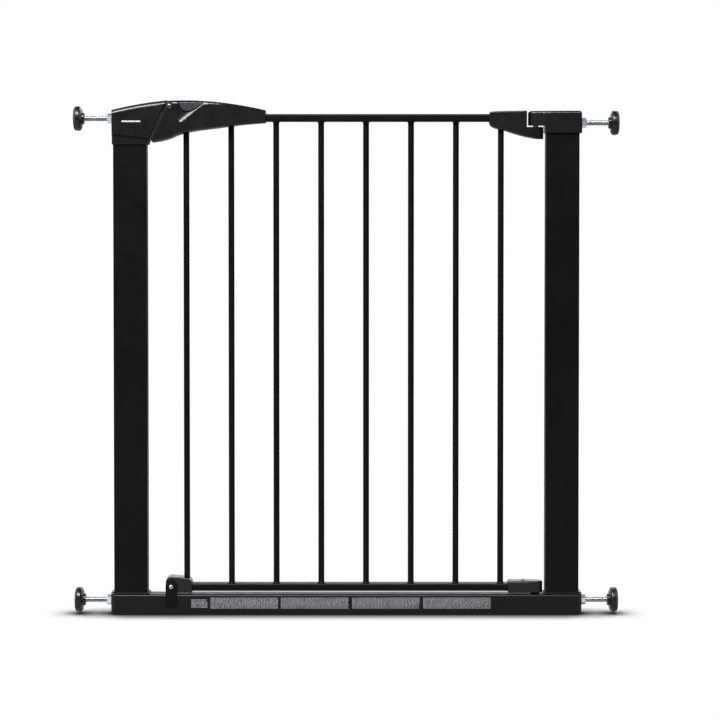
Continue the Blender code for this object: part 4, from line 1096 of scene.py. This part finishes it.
def dress_kept_nodes():
    """Hidden mechanism parts keep their CAD shape and get their own finish."""
    for node, material in (("latch_bolt", ZINC), ("bolt_spring", SPRING), ("closing_spring", SPRING)):
        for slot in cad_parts[node].material_slots:
            slot.material = material


# ---- studio

def product(tree, one, other):
    node = new_node(tree, "Math")
    node.operation = "MULTIPLY"
    for socket, value in zip(node.inputs, (one, other)):
        tree.links.new(value, socket)
    return node.outputs["Value"]


def seen_by_camera(tree):
    return new_node(tree, "LightPath").outputs["Is Camera Ray"]


def plain_floor():
    """A pale floor whose glow to the eye carries a painted contact shadow, darkened where something stands
    close over it; the gate itself mirrors a dimmer one.
    """
    bm = bmesh.new()
    bmesh.ops.create_circle(bm, cap_ends=True, segments=96, radius=14.0)
    floor = add_object("studio_floor", bm)
    made, tree, shader = new_material("pale_floor")
    shade = mixed(tree, noise(tree, 3.0, 3.0), (0.30, 0.30, 0.30), (0.34, 0.34, 0.34))
    fill(tree, shader, Base_Color=shade, Roughness=0.85, Specular_IOR_Level=0.1)
    # painted contact shadow: the floor's glow darkens with ambient occlusion close to whatever stands over it
    clear = new_node(tree, "AmbientOcclusion", Distance=0.05).outputs["AO"]
    for _ in range(2):
        clear = product(tree, clear, clear)
    shadow, lit = (0.02, 0.02, 0.02), (1.0, 1.0, 1.0)
    clear = spread(tree, clear, 0.0, 1.0, 0.02, 0.84)
    glow = new_node(tree, "Emission", Color=mixed(tree, clear, shadow, lit))
    mix = new_node(tree, "MixShader", Fac=seen_by_camera(tree))
    tree.links.new(shader.outputs["BSDF"], mix.inputs[1])
    tree.links.new(glow.outputs["Emission"], mix.inputs[2])
    fill(tree, tree.nodes["Material Output"], Surface=mix.outputs["Shader"])
    floor.data.materials.append(made)


def aimed(name, data, place, target):
    made = placed(name, data)
    made.location = place
    made.rotation_euler = (Vector(target) - Vector(place)).to_track_quat("-Z", "Y").to_euler()
    return made


def area_light(name, place, target, size, power):
    data = bpy.data.lights.new(name, "AREA")
    data.shape = "RECTANGLE"
    data.size, data.size_y = size
    data.energy = power
    aimed(name, data, place, target).visible_camera = False


def lights():
    aim = (0.0, 0.0, 0.5)
    area_light("key_softbox", (-0.9, -1.8, 2.9), aim, (3.2, 0.7), 400)
    area_light("rear_softbox", (0.8, 2.4, 2.2), aim, (2.4, 0.9), 30)
    area_light("left_softbox", (-2.8, 0.3, 1.7), aim, (0.9, 1.4), 30)
    area_light("right_softbox", (2.8, 0.3, 1.7), aim, (0.9, 1.4), 30)


def room():
    """A white room to the eye. What the gate mirrors is dark, with a bright band low down behind it."""
    world = bpy.data.worlds.new("studio")
    bpy.context.scene.world = world
    world.use_nodes = True
    tree = world.node_tree
    background = tree.nodes["Background"]
    axes = new_node(tree, "SeparateXYZ", Vector=new_node(tree, "TexCoord").outputs["Generated"])
    behind = spread(tree, axes.outputs["Y"], 0.0, 1.0, 0.2, 0.7)
    above_floor = spread(tree, axes.outputs["Z"], 0.0, 1.0, 0.02, 0.08)
    below_ceiling = spread(tree, axes.outputs["Z"], 1.0, 0.0, 0.30, 0.50)
    band = product(tree, behind, product(tree, above_floor, below_ceiling))
    mirrored = spread(tree, band, 0.16, 1.8, 0.0, 1.0)
    choice = new_node(tree, "Mix", Factor=seen_by_camera(tree), A=mirrored, B=1.0)
    fill(tree, background, Color=(1.0, 1.0, 1.0, 1.0), Strength=choice.outputs["Result"])


VIEW_WIDTH = 1.055              # metres across the picture at the gate's front
VIEW_CENTRE = (0.020, 0.3733)   # X and Z in the middle of the picture
CAMERA_DISTANCE = 3.1
CAMERA_HEIGHT = 0.57
CAMERA_SHIFT = -0.11


def camera():
    data = bpy.data.cameras.new("camera")
    data.sensor_width = 36.0
    data.lens = 36.0 * CAMERA_DISTANCE / VIEW_WIDTH
    data.shift_y = CAMERA_SHIFT
    data.clip_end = 60.0
    x, z = VIEW_CENTRE
    bpy.context.scene.camera = aimed("camera", data, (x, -CAMERA_DISTANCE, CAMERA_HEIGHT),
                                     (x, 0.0, z - CAMERA_SHIFT * VIEW_WIDTH))
    bpy.context.scene.view_settings.view_transform = "Standard"


camera()
posts_and_base()
bars_and_rails()
latch_housing()
handle()
buttons()
hinge_cap()
hinge_arm()
hinge_pins()
lower_hinge_shoe()
latch_shoe()
door_stop()
end_caps()
wall_adjusters()
prints()
dress_kept_nodes()
plain_floor()
lights()
room()
